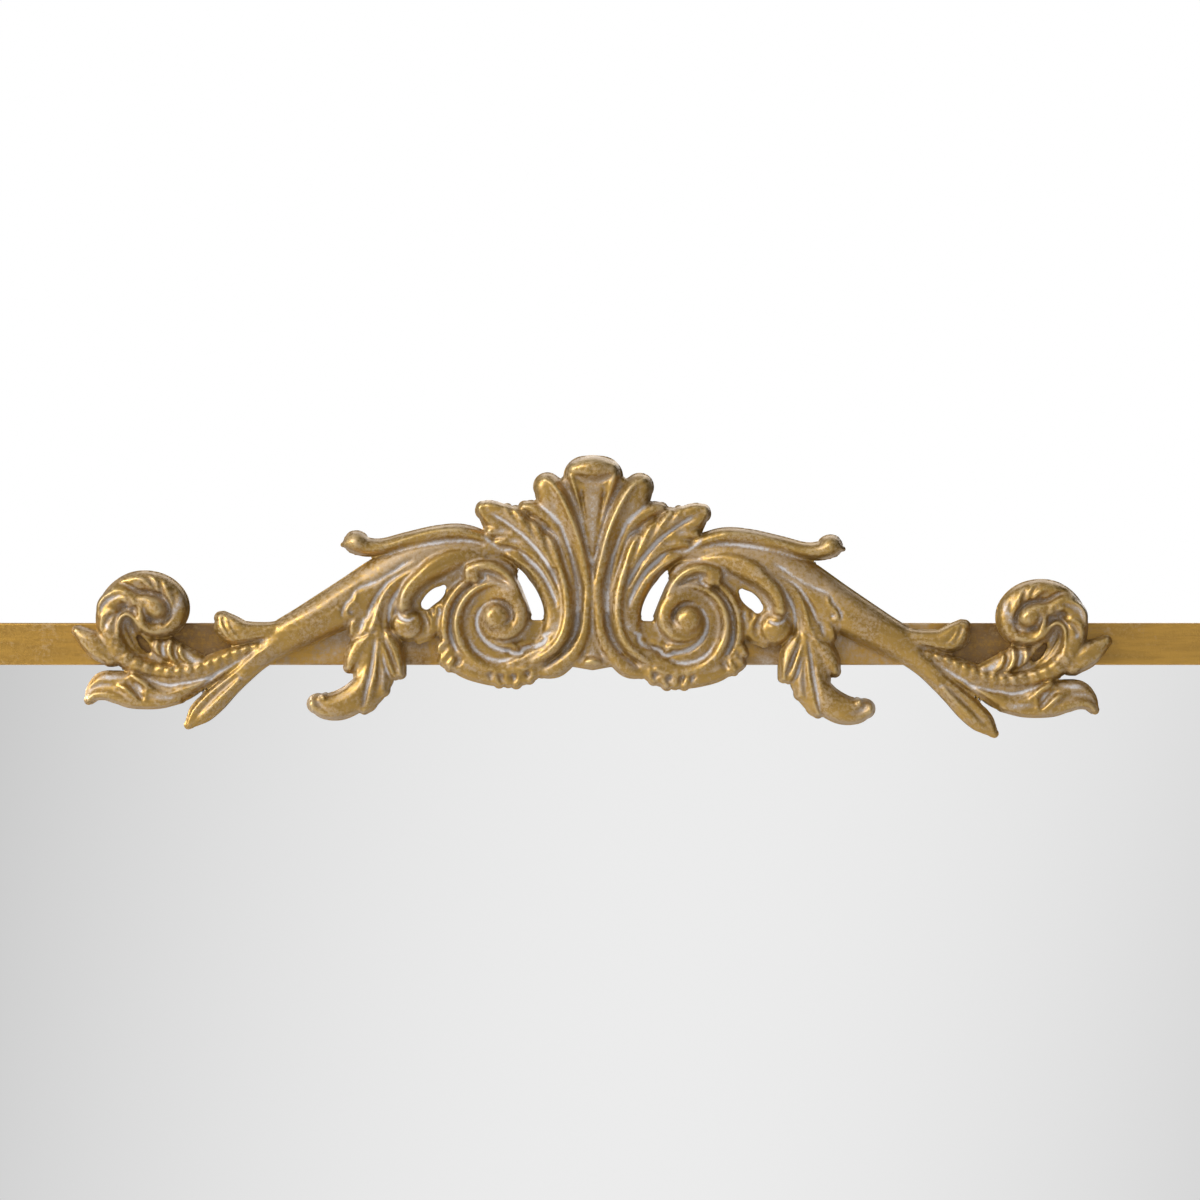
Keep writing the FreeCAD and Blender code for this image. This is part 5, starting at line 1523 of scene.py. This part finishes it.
@dataclass
class CrestCasting:
    """The carved casting as one mesh: relief in front, rounded sides and a flat back.

    Attributes:
        plan: The pixel grid on the frame.
        pitch: Distance between the grid's lines, in metres.
        edge_share: Height of the sides' top edge, as a share of the relief.
        fall: How far the right half hangs for each step to the right, as carved.
        pivot_row: Row about which the fall turns the right half.
        margin_pixels: Room at either end of the grid.
        first_row: Row of pixels above the knob where the grid starts.
        last_row: Row below the skirts where it ends.
        smoothing: Width of the blur that softens the carving, in grid steps.
        near_blur: Width of the blur that tells narrow hollows and crowns, in pixels.
        wide_blur: Width of the one for broad ones.
    """

    plan: CrestPlan = field(default_factory=CrestPlan)
    pitch: float = 0.00057
    edge_share: float = 0.2
    fall: float = 0.0205
    pivot_row: float = 600.0
    margin_pixels: float = 6.0
    first_row: float = 448.0
    last_row: float = 746.0
    smoothing: float = 1.05
    near_blur: float = 2.2
    wide_blur: float = 6.0

    def left_half_place(self, x: Array, y: Array) -> tuple[Array, Array]:
        """Carries any plan place to the left half that it mirrors.

        On the right of the axis the place is mirrored and turned back by the fall, which grows from nothing at
        the axis, and is bent by slow sines of a fraction of a pixel, because the halves are carved by hand.

        Args:
            x: Pixel columns.
            y: Pixel rows.

        Returns:
            Columns and rows on the left half.
        """
        right = np.maximum(x - self.plan.axis_pixel, 0)
        ease = eased(0, 60, right)
        wander_x = 0.7 * np.sin(y / 23 + right / 61) * ease
        wander_y = 0.8 * np.sin(right / 37 + 1.3) * ease
        mirrored = -right - self.fall * (y - self.pivot_row) * ease + wander_x
        left = np.minimum(x - self.plan.axis_pixel, 0)
        is_right = x > self.plan.axis_pixel
        row = y - self.fall * right * ease + wander_y
        return self.plan.axis_pixel + np.where(is_right, mirrored, left), np.where(is_right, row, y)

    def carve(self) -> tuple[Array, Array, Array, Array, Array]:
        """Works out the height, the reach and the wash on the whole grid.

        Returns:
            Grid columns and rows in pixels, and the height share, reach and wash, each as a two-way array.
        """
        step = self.pitch / self.plan.scale
        half = self.plan.span_pixels / 2 + self.margin_pixels
        columns = np.arange(self.plan.axis_pixel - half, self.plan.axis_pixel + half, step)
        rows = np.arange(self.first_row, self.last_row, step)
        x, y = np.meshgrid(columns, rows)
        left_x, left_y = self.left_half_place(x, y)
        carving = CrestCarving(left_x.ravel(), left_y.ravel())
        carving.carve_all()
        height = carving.height.reshape(x.shape).astype(float)
        reach = carving.reach.reshape(x.shape).astype(float)
        floor = self.edge_share + 0.05 * np.clip(reach / 3, 0, 1)
        height = np.maximum(blurred(height, self.smoothing), floor)
        return x, y, height, reach, carving.wiped.reshape(x.shape).astype(float)

    def snapped(self, x: Array, y: Array, reach: Array) -> tuple[Array, Array, Array]:
        """Moves each grid point that lies just outside the silhouette onto it, down the slope of the reach.

        Args:
            x: Columns.
            y: Rows.
            reach: Distance inside the silhouette.

        Returns:
            The moved columns and rows, and which points are truly inside.
        """
        step = x[0, 1] - x[0, 0]
        slope_y, slope_x = np.gradient(reach, step)
        steep = np.maximum(slope_x**2 + slope_y**2, 0.25)
        inside = reach > 0
        move = np.where(inside, 0, np.clip(-reach, 0, 1.6 * step))
        return x + move * slope_x / steep, y + move * slope_y / steep, inside

    def front(self, x: Array, y: Array, height: Array, reach: Array) -> tuple[Array, Array, Array]:
        """Takes the part of the grid that lies on the casting, its outer points drawn onto the silhouette.

        Args:
            x: Columns.
            y: Rows.
            height: Height share.
            reach: Distance inside the silhouette.

        Returns:
            Points in metres, quads that face the front, and the grid's number of each point.
        """
        moved_x, moved_y, inside = self.snapped(x, y, reach)
        quads = grid_faces(*x.shape)[:, ::-1]
        kept, numbered = np.unique(quads[inside.ravel()[quads].any(1)], return_inverse=True)
        share = np.where(inside.ravel()[kept], height.ravel()[kept], self.edge_share)
        across, up = self.plan.to_metres(moved_x.ravel()[kept], moved_y.ravel()[kept])
        points = np.stack([across, self.plan.back - share * self.plan.relief, up], 1)
        return points, numbered.reshape(-1, 4), kept

    def build(self, finish: GiltFinish) -> bpy.types.Object:
        """Builds the casting and dresses it.

        The front's open edges go back in two steps: to just over half the edge's height, and to the flat back.

        Args:
            finish: Its gilt finish.

        Returns:
            The crest.
        """
        x, y, height, reach, wiped = self.carve()
        front, quads, kept = self.front(x, y, height, reach)
        sides = np.stack([quads, np.roll(quads, -1, 1)], 2).reshape(-1, 2)
        _, first, counts = np.unique(np.sort(sides, 1), axis=0, return_index=True, return_counts=True)
        rim = sides[first[counts == 1]]
        rim_points = np.unique(rim)
        number = np.full(len(front), -1)
        number[rim_points] = np.arange(len(rim_points))
        middle, foot = front[rim_points].copy(), front[rim_points].copy()
        middle[:, 1] = self.plan.back - self.edge_share * 0.55 * self.plan.relief
        foot[:, 1] = self.plan.back
        a, b = number[rim].T
        base, back_start = len(front), len(front) + len(rim_points)
        upper = np.stack([rim[:, 1], rim[:, 0], base + a, base + b], 1)
        lower = np.stack([base + b, base + a, back_start + a, back_start + b], 1)
        back_faces, extra = self.flat_back(foot, np.stack([a, b], 1))
        back_points = np.stack([extra[:, 0], np.full(len(extra), self.plan.back), extra[:, 1]], 1)
        points = np.vstack([front, middle, foot, back_points])
        faces = np.vstack([quads, upper, lower]).tolist() + (back_faces + back_start).tolist()
        piece = new_piece("crest", points, faces, Body.MIRROR, Slot.CREST)
        self.flatten_back(piece, len(back_faces), back_start)
        for name, values in self.wear_and_shade_masks(height, reach, wiped).items():
            on_points = np.zeros(len(piece.data.vertices), np.float32)
            on_points[: len(kept)] = values.ravel()[kept]
            attribute = piece.data.attributes.new(name, "FLOAT", "POINT")
            attribute.data.foreach_set("value", on_points)
        dress(piece, finish.material())
        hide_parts("crest_casting")
        return piece

    def flatten_back(self, piece: bpy.types.Object, back_faces: int, back_start: int) -> None:
        """Shades the back flat, with sharp edges all round it.

        Args:
            piece: The casting.
            back_faces: Number of faces in the back, which are the last ones.
            back_start: Number of the first point on the back.
        """
        mesh = piece.data
        smooth = np.ones(len(mesh.polygons), bool)
        smooth[len(smooth) - back_faces:] = False
        mesh.polygons.foreach_set("use_smooth", smooth)
        ends = np.empty(2 * len(mesh.edges), np.int32)
        mesh.edges.foreach_get("vertices", ends)
        mesh.edges.foreach_set("use_edge_sharp", (ends.reshape(-1, 2) >= back_start).all(1))

    def flat_back(self, outline: Array, edges: Array) -> tuple[Array, Array]:
        """Fills the back's outline, less its openings, with triangles that keep to its edges.

        Args:
            outline: Points of the outline, in metres.
            edges: Pairs of their numbers.

        Returns:
            Triangles that face +Y, and X and Z of any points added beyond the outline's own.
        """
        flat = [Vector((x, z)) for x, z in outline[:, [0, 2]].tolist()]
        filled = delaunay_2d_cdt(flat, edges.tolist(), [], 2, 1e-9)
        places, triangles, origins = filled[0], filled[2], filled[3]
        added = [i for i, origin in enumerate(origins) if not origin]
        number = {i: len(outline) + k for k, i in enumerate(added)}
        own = np.array([number[i] if i in number else origins[i][0] for i in range(len(places))])
        faces = own[np.array(triangles)]
        return faces[self.within(faces, edges)][:, ::-1], np.array([places[i][:] for i in added]).reshape(-1, 2)

    def within(self, faces: Array, edges: Array) -> Array:
        """Tells the triangles inside the outline from those across an opening.

        A triangle that holds an edge of the outline the way it runs is inside, one that holds it the other way is
        outside, and the rest are as their neighbours across edges that aren't the outline's.

        Args:
            faces: Triangles.
            edges: Pairs of numbers, as they run along the outline.

        Returns:
            Whether each triangle is inside.
        """
        outline = set(map(tuple, edges.tolist()))
        owner = {}
        for i, (a, b, c) in enumerate(faces.tolist()):
            owner.update({(a, b): i, (b, c): i, (c, a): i})
        inside = np.zeros(len(faces), int)
        front = []
        for edge in outline:
            for side, key in ((1, edge), (-1, edge[::-1])):
                if key in owner and not inside[owner[key]]:
                    inside[owner[key]] = side
                    front.append(owner[key])
        while front:
            a, b, c = faces[(i := front.pop())].tolist()
            for key in ((b, a), (c, b), (a, c)):
                if key in outline or key[::-1] in outline or key not in owner or inside[owner[key]]:
                    continue
                inside[owner[key]] = inside[i]
                front.append(owner[key])
        return inside > 0

    def wear_and_shade_masks(self, height: Array, reach: Array, wiped: Array) -> dict[str, Array]:
        """Where the wash stays, where the gold is rubbed and where shade is painted on the slopes.

        The wash is what the strokes left plus a share of how far the surface lies below its own blur; the gold is
        rubbed where it stands above that blur; the steep slopes of the relief get painted shade.

        Args:
            height: Height share.
            reach: Distance inside the silhouette.
            wiped: Wash left by the strokes.

        Returns:
            The attributes wash, crown and steep (painted shade on slopes), each from 0 to about 1.
        """
        relief = self.plan.relief / MILLIMETRE
        covered = (reach > -0.5).astype(float)
        step = self.pitch / self.plan.scale
        solid = height * relief
        widths = (self.near_blur / step, self.wide_blur / step)
        near, wide = (blurred(solid * covered, w) / np.maximum(blurred(covered, w), 0.05) for w in widths)
        inside = eased(1.0, 5.0, reach)
        hollow = np.maximum(near - solid, 0) * 0.8 + 0.12 * np.maximum(wide - solid, 0)
        crown = np.maximum(solid - near, 0) + 0.1 * np.maximum(solid - wide, 0)
        slope_y, slope_x = np.gradient(solid, self.pitch / MILLIMETRE)
        # steep is painted shade: the material darkens steep slopes toward umber
        steep = eased(0.5, 2.2, np.hypot(slope_x, slope_y))
        wash = np.maximum(blurred(wiped, 0.7), np.minimum(hollow, 0.55)) * inside
        return {"wash": wash, "crown": crown * inside, "steep": steep}


# Fittings on the back


@dataclass
class RingHanger:
    """A ring hanger on the left or the right stile: rolled strap, wire ring and its screw.

    Attributes:
        side: The stile that it is on.
        sheet: Thickness of the strap's sheet, in metres.
        roll_degrees: How far the strap is rolled round the ring's bar.
        bend_steps: Number of points along each tight bend of the ring.
    """

    side: Side
    ring_sections: int = 96
    wire_sides: int = 20
    sheet: float = 0.001
    eased_edge: float = 0.00025
    roll_degrees: float = 318.0
    bend_steps: int = 12

    @property
    def ring_node(self) -> str:
        """Name of the ring's CAD node."""
        return f"hanger_ring_{self.side.value}"

    @property
    def strap_node(self) -> str:
        """Name of the strap's CAD node."""
        return f"hanger_strap_{self.side.value}"

    @property
    def pivot(self) -> Vector:
        """A point on the hinge that the ring turns on."""
        return Vector(next(j["pos_m"] for j in frame["joints"] if j["name"] == f"{self.side.value}_ring_hinge"))

    @property
    def wire(self) -> float:
        """Radius of the ring's wire: the ring's lowest point, on its bar, is that far below the hinge."""
        return self.pivot.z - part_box(self.ring_node)[0].z

    def ring_path(self) -> Array:
        """Line of the ring's wire: a straight bar, a tight bend at each end of it and an arch over them.

        A bend's or the arch's point is its centre plus r (cos t, sin t), and the heading there is t + 90 degrees.

        Returns:
            Rows of (x, z, heading), about the hinge.
        """
        def arc(centre_x: float, centre_z: float, r: float, start: float, end: float, steps: int) -> Array:
            """Rows along an arc from one angle to another."""
            t = np.radians(np.linspace(start, end, steps))
            return np.stack([centre_x + r * np.cos(t), centre_z + r * np.sin(t), t + np.pi / 2], 1)
        low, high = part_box(self.ring_node)
        strap_low, strap_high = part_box(self.strap_node)
        arm = (high.x - low.x) / 2 - self.wire
        half_bar = (strap_high.x - strap_low.x) / 2
        bend = arm - half_bar
        top = high.z - self.wire - self.pivot.z
        bar = np.linspace(-half_bar, half_bar, 8)[1:-1]
        return np.vstack([
            np.stack([bar, np.zeros_like(bar), np.zeros_like(bar)], 1),
            arc(half_bar, bend, bend, -90, 0, self.bend_steps),
            arc(0, top - arm, arm, 0, 180, self.ring_sections // 2),
            arc(-half_bar, bend, bend, 180, 270, self.bend_steps),
        ])

    def build_ring(self, finish: bpy.types.Material) -> bpy.types.Object:
        """Ring: a round wire carried along its path.

        The wire's point is the path's point plus the radius times (normal cos t + Y sin t).

        Args:
            finish: The ring's material.

        Returns:
            The ring, riding on its own body.
        """
        path, pivot = self.ring_path(), self.pivot
        turn = np.linspace(0, 2 * np.pi, self.wire_sides, endpoint=False)
        x, z, heading = path[:, :1], path[:, 1:2], path[:, 2:]
        out = np.cos(turn) * self.wire
        points = np.stack([
            pivot.x + x - np.sin(heading) * out,
            np.broadcast_to(pivot.y + np.sin(turn) * self.wire, (len(path), self.wire_sides)),
            pivot.z + z + np.cos(heading) * out,
        ], -1).reshape(-1, 3)
        faces = grid_faces(len(path), self.wire_sides, closed_rows=True, closed_columns=True)
        body = {Side.LEFT: Body.LEFT_RING, Side.RIGHT: Body.RIGHT_RING}[self.side]
        piece = new_piece(f"ring_{self.side.value}", points, faces, body, Slot.BRASS)
        return put_in_place(piece, finish, self.ring_node)

    def build_strap(self, finish: bpy.types.Material) -> bpy.types.Object:
        """Strap: a flat strip with eased edges that runs up the flange and rolls round the ring's bar.

        The strip's section is carried along a line and then round a circle about the ring's bar.

        Args:
            finish: The strap's material.

        Returns:
            The strap.
        """
        low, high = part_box(self.strap_node)
        pivot = self.pivot
        roll = high.z - pivot.z - self.sheet / 2
        half = (high.x - low.x) / 2
        crop = half / 2
        rise = np.concatenate([np.linspace(0, crop, 5), np.linspace(crop, pivot.z - low.z, 14)[1:]])
        turn = np.radians(np.linspace(0, self.roll_degrees, 40))[1:]
        y = np.concatenate([np.full(len(rise), pivot.y - roll), pivot.y - roll * np.cos(turn)])
        z = np.concatenate([low.z + rise, pivot.z + roll * np.sin(turn)])
        normal_y = np.concatenate([np.full(len(rise), -1.0), -np.cos(turn)])
        normal_z = np.concatenate([np.zeros(len(rise)), np.sin(turn)])
        width = np.concatenate([half - crop * (1 - np.clip(rise / crop, 0, 1)), np.full(len(turn), half)])
        across = np.array([-1, -1, -1, 1, 1, 1, 1, 1, 1, -1, -1, -1])
        inset = np.array([0, 0.3, 1, 1, 0.3, 0, 0, 0.3, 1, 1, 0.3, 0]) * self.eased_edge
        drop = np.array([1, 0.3, 0, 0, 0.3, 1, 1, 0.3, 0, 0, 0.3, 1]) * self.eased_edge
        lift = np.repeat([1, -1], 6) * (self.sheet / 2 - drop)
        x = pivot.x + across * (width[:, None] - inset)
        points = np.stack([x, y[:, None] + normal_y[:, None] * lift, z[:, None] + normal_z[:, None] * lift], -1)
        piece = new_piece(
            f"strap_{self.side.value}", points.reshape(-1, 3), tube_faces(*x.shape), Body.MIRROR, Slot.BRASS)
        return put_in_place(piece, finish, self.strap_node)


@dataclass
class HeadedScrews:
    """All screws of one size: a domed head with a cross recess, a threaded shank and a blunt tip.

    Attributes:
        node: The CAD node that they replace.
        head_radius: Radius of the head, in metres.
        head_height: Height of the head.
        shank_radius: Radius of the shank over its thread.
        thread_pitch: Distance between the thread's turns.
        dome: Share of the head's height by which it falls to its rim.
        recess_depth: Depth of the cross recess, as a share of the head's height.
        slot_half: Half width of the recess, as a share of the head's radius.
        recess_reach: Length of its arms, as such a share.
        slot_wall: Width of the slope at an arm's long sides, as such a share.
        arm_wall: Width of the slope at its end, as such a share.
        thread_depth: Depth of the thread, as a share of the shank's radius.
        tip_length: Share of the shank that its tip takes.
        tip_radius: Radius of the tip's end, as a share of the shank's.
        cell: Size of the grid's cells that tells the screws apart, in metres.
    """

    node: str
    head_radius: float
    head_height: float
    shank_radius: float
    thread_pitch: float = 0.0007
    sides: int = 40
    head_rings: int = 16
    dome: float = 0.55
    recess_depth: float = 0.55
    slot_half: float = 0.15
    recess_reach: float = 0.55
    slot_wall: float = 0.06
    arm_wall: float = 0.12
    thread_depth: float = 0.12
    tip_length: float = 0.12
    tip_radius: float = 0.15
    cell: float = 0.012

    def places(self) -> list[tuple[Vector, float]]:
        """Finds each screw in the CAD node: the points whose cells of a coarse grid touch are one screw's.

        Returns:
            The centre of each screw's seat, and its length in front of the seat.
        """
        vertices = frame["nodes"][self.node].data.vertices
        points = np.empty(3 * len(vertices), np.float32)
        vertices.foreach_get("co", points)
        points = points.reshape(-1, 3).astype(float)
        cells = np.round(points[:, [0, 2]] / self.cell).astype(int)
        _, first = np.unique(cells, axis=0, return_index=True)
        found: dict[tuple, Array] = {}
        for cell in cells[np.sort(first)]:
            home = next((k for k in found if np.abs(cell - k).max() <= 1), tuple(cell))
            found[home] = found.get(home, False) | (cells == cell).all(1)
        result = []
        for belongs in found.values():
            low, high = points[belongs].min(0), points[belongs].max(0)
            middle, seat_y = (low + high) / 2, high[1] - self.head_height
            result.append((Vector((middle[0], seat_y, middle[2])), seat_y - low[1]))
        return result

    def one(self, seat: Vector, length: float, twist: float) -> tuple[Array, list]:
        """One screw: rings whose radius falls as they rise over the head, sunk where the cross recess lies.

        The head's height at radius share q is height (1 - dome q^4), less the recess: its depth where the point
        is within half a slot's width of either arm and inside the arms' reach. The shank's radius falls and rises
        by the thread's depth with every turn.

        Args:
            seat: Centre of the face that the head bears on.
            length: Length of the shank.
            twist: Turn of the recess, in radians.

        Returns:
            Points and faces.
        """
        angle = np.linspace(0, 2 * np.pi, self.sides, endpoint=False)
        share = np.linspace(0.02, 1, self.head_rings)[:, None]
        radius = self.head_radius * share
        x, z = radius * np.cos(angle), radius * np.sin(angle)
        turned_x = np.abs(x * math.cos(twist) + z * math.sin(twist)) / self.head_radius
        turned_z = np.abs(z * math.cos(twist) - x * math.sin(twist)) / self.head_radius
        off_arm, reach = np.minimum(turned_x, turned_z), np.maximum(turned_x, turned_z)
        in_slot = np.clip((self.slot_half - off_arm) / self.slot_wall, 0, 1)
        sunk = in_slot * np.clip((self.recess_reach - reach) / self.arm_wall, 0, 1)
        top = self.head_height * (1 - self.dome * share**4) - sunk * self.head_height * self.recess_depth
        head = np.stack([seat.x + x, seat.y + top, seat.z + z], -1).reshape(-1, 3)
        along = np.linspace(0, 1, max(4, int(length / self.thread_pitch) * 4))
        thread = self.thread_depth * np.abs(np.mod(along * length / self.thread_pitch, 1.0) * 2 - 1)
        blunt = np.clip((1 - along) / self.tip_length, self.tip_radius, 1)
        shank = np.stack([self.shank_radius * (1 - thread) * blunt, -along * length], 1)
        profile = np.vstack([[[self.head_radius, 0.0]], shank])
        points = np.vstack([head, turned_points(profile, seat, self.sides)])
        return points, tube_faces(self.head_rings + len(profile), self.sides)

    def build(self, finish: bpy.types.Material) -> bpy.types.Object:
        """Builds all the screws as one piece, each with its recess turned another way.

        Args:
            finish: Their material.

        Returns:
            The screws.
        """
        screws = [self.one(seat, length, 0.4 + 1.9 * i) for i, (seat, length) in enumerate(self.places())]
        piece = new_piece(f"{self.node}_dressed", *joined(screws), Body.MIRROR, Slot.STEEL)
        return put_in_place(piece, finish, self.node)


@dataclass
class WallBumpers:
    """Four rubber pads: a drum that narrows to a flat face, with an eased rim and a groove round its foot."""

    foot: float = 0.006
    sides: int = 48

    def build(self, finish: bpy.types.Material) -> bpy.types.Object:
        """Builds the pads at the corners of the CAD node's box.

        Args:
            finish: Their material.

        Returns:
            The pads.
        """
        low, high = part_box("wall_bumpers")
        foot, face = self.foot, self.foot * 5 / 6
        profile = np.array([
            (foot * 0.98, 0), (foot, 0.02), (foot, 0.12), (foot * 0.975, 0.15), (foot * 0.975, 0.2),
            (foot * 0.985, 0.24), (face * 1.02, 0.86), (face, 0.94), (face * 0.96, 0.985), (face * 0.9, 1.0),
            (face * 0.5, 1.0),
        ])
        profile[:, 1] = low.y + profile[:, 1] * (high.y - low.y)
        centres = [Vector((x, 0, z)) for x in (low.x + foot, high.x - foot) for z in (low.z + foot, high.z - foot)]
        faces = tube_faces(len(profile), self.sides)
        pads = [(turned_points(profile, centre, self.sides), faces) for centre in centres]
        piece = new_piece("bumpers", *joined(pads), Body.MIRROR, Slot.RUBBER)
        return put_in_place(piece, finish, "wall_bumpers")


# Setting


@dataclass(frozen=True)
class Lamp:
    """A square area lamp that faces a target; its size is its side in metres and its power is in watts."""

    name: str
    place: Sequence[float]
    size: float
    power: float
    target: Sequence[float] = (0, -0.03, 0.13)

    def build(self) -> None:
        """Places the lamp."""
        data = bpy.data.lights.new(self.name, "AREA")
        data.size = self.size
        data.energy = self.power
        lamp = bpy.data.objects.new(self.name, data)
        lamp.location = self.place
        heading = Vector(self.target) - Vector(self.place)
        lamp.rotation_euler = heading.to_track_quat("-Z", "Y").to_euler()
        bpy.context.scene.collection.objects.link(lamp)


@dataclass
class Studio:
    """Camera, lamps, floor and surroundings.

    Attributes:
        distance: From the camera to the frame's front, in metres.
        view_width: Width of what the photograph shows at the frame's front.
        centre_x: X of the middle of the view.
        centre_z: Z of the middle of the view.
    """

    distance: float = 2.2
    view_width: float = 0.5426
    centre_x: float = 0.0034
    centre_z: float = 0.1304
    sensor: float = 36.0
    floor_side: float = 3.0
    floor_gap: float = 0.002
    lamps: Sequence[Lamp] = (
        Lamp("key", (-1.6, -1.7, 1.7), 0.9, 40.0),
        Lamp("side", (-1.8, -0.7, 0.6), 0.5, 22.0),
        Lamp("fill", (1.9, -2.0, 0.5), 1.8, 8.0),
        Lamp("rear", (0.4, 2.2, 1.2), 2.0, 26.0, target=(0, 0, -0.3)),
    )

    def camera(self) -> None:
        """Places the camera square to the mirror."""
        data = bpy.data.cameras.new("camera")
        data.sensor_width = self.sensor
        data.lens = self.sensor * self.distance / self.view_width
        camera = bpy.data.objects.new("camera", data)
        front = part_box("top_rail")[0].y
        camera.location = (self.centre_x, front - self.distance, self.centre_z)
        camera.rotation_euler = (math.radians(90), 0, 0)
        bpy.context.scene.collection.objects.link(camera)
        bpy.context.scene.camera = camera

    def surroundings(self) -> None:
        """White behind the object, and the pale grey studio that its mirror and gilding reflect.

        Ahead of the mirror its brightness falls with the square of the distance from a slanting line across the
        view, elsewhere it rises toward the key lamp's side and falls behind the object.
        """
        world = bpy.data.worlds.new("studio")
        bpy.context.scene.world = world
        s = Shader(world)
        direction = s.node("ShaderNodeTexCoord", output="Generated")
        x, y, z = (s.node("ShaderNodeSeparateXYZ", {}, {0: direction}, axis) for axis in range(3))
        views = 2 * self.distance / self.view_width  # half views of the camera in a unit of slope
        across = (x - self.centre_x / self.distance) * views
        down = z * -views
        offset = across - (0.2 - (down - 0.15) * 0.2)
        sweep = 0.85 - offset * offset * 0.172
        ahead = (y * -1.0).between(0.90, 0.985)
        key_side = (z * 0.35 - x * 0.75 + 0.42).between(0.0, 1.05)
        around = (0.08 + key_side * 0.9) * (1.0 - y.between(-0.1, 0.45) * 0.72)
        seen = around * (1.0 - ahead) + sweep.most(0.5) * ahead
        path = {ray: s.node("ShaderNodeLightPath", output=f"Is {ray} Ray") for ray in ("Camera", "Transmission")}
        plain = path["Camera"].most(path["Transmission"])
        strength = plain + (1.0 - plain) * seen
        emission = s.node("ShaderNodeBackground", {}, {"Color": (1.0, 1.0, 1.0, 1.0), "Strength": strength})
        s.node_output("ShaderNodeOutputWorld", emission)

    def floor(self) -> None:
        """Pale floor just below the frame, which fades into the white background away from it."""
        side, z = self.floor_side, CAD_BOX[0][2] - self.floor_gap
        mesh = bpy.data.meshes.new("floor")
        corners = [(-side, -side, z), (side, -side, z), (side, side, z), (-side, side, z)]
        mesh.from_pydata(corners, [], [[0, 1, 2, 3]])
        floor = bpy.data.objects.new("floor", mesh)
        bpy.context.scene.collection.objects.link(floor)
        material, s = new_material("floor")
        x, y = s.place(0) * MILLIMETRE, s.place(1) * MILLIMETRE
        away = (x * x + y * y).between(0.6, 5.0) * s.node("ShaderNodeLightPath", output="Is Camera Ray")
        pale, dark, white = (0.88, 0.88, 0.88), (0.0, 0.0, 0.0), (1.0, 1.0, 1.0)
        s.surface(
            Base_Color=s.mixed(away, pale, dark), Roughness=0.9, Emission_Color=s.mixed(away, dark, white),
            Emission_Strength=1.0,
        )
        dress(floor, material)

    def build(self) -> None:
        """Sets everything up."""
        bpy.context.scene.view_settings.view_transform = "Standard"
        self.camera()
        for lamp in self.lamps:
            lamp.build()
        self.surroundings()
        self.floor()


def dress_cad_nodes() -> None:
    """Gives every CAD node that stays its finish."""
    rails = GiltFinish(
        "frame_gilt", srgb(181, 139, 60), srgb(206, 168, 90), gilding=Gilding.FOLDED, grain_depth=0.00008,
    ).material()
    zinc = MetalFinish("zinc_steel", srgb(200, 203, 205), srgb(150, 152, 150)).material()
    spring = MetalFinish("spring_steel", srgb(120, 124, 130), srgb(78, 80, 84), roughness=0.36).material()
    finishes = {name: rails for name in ("top_rail", "bottom_rail", "left_stile", "right_stile")}
    finishes["mirror_glass"] = MirrorFinish().material()
    finishes["backing_board"] = HardboardFinish().material()
    for corner in ("top_left", "top_right", "bottom_left", "bottom_right"):
        finishes[f"corner_key_{corner}"] = zinc
    for edge in ("top", "bottom", "left", "right"):
        finishes[f"spring_clips_{edge}"] = spring
    for name, material in finishes.items():
        dress(frame["nodes"][name], material)
        log.info("finish %s on %s", material.name, name)


def main() -> None:
    """Builds the dressed mirror, piece by piece, and its setting."""
    logging.basicConfig(level=logging.INFO, format="%(name)s: %(message)s")
    dress_cad_nodes()
    crest = CrestCasting().build(GiltFinish("crest_gilt"))
    log.info("crest: %d faces", len(crest.data.polygons))
    brass = MetalFinish("hanger_brass", srgb(206, 172, 104), srgb(150, 118, 66), roughness=0.28).material()
    steel = MetalFinish("screw_steel", srgb(188, 190, 192), srgb(128, 130, 130), roughness=0.3).material()
    for side in Side:
        hanger = RingHanger(side)
        log.info("ring: %s", hanger.build_ring(brass).name)
        log.info("strap: %s", hanger.build_strap(brass).name)
    for screws in (
        HeadedScrews("corner_screws", 0.0036, 0.002, 0.002),
        HeadedScrews("hanger_screws", 0.0028, 0.0016, 0.0016),
        HeadedScrews("crest_screws", 0.0034, 0.0017, 0.00175, thread_pitch=0.001),
    ):
        log.info("screws: %s", screws.build(steel).name)
    log.info("bumpers: %s", WallBumpers().build(RubberFinish().material()).name)
    Studio().build()


if __name__ == "__main__":
    main()
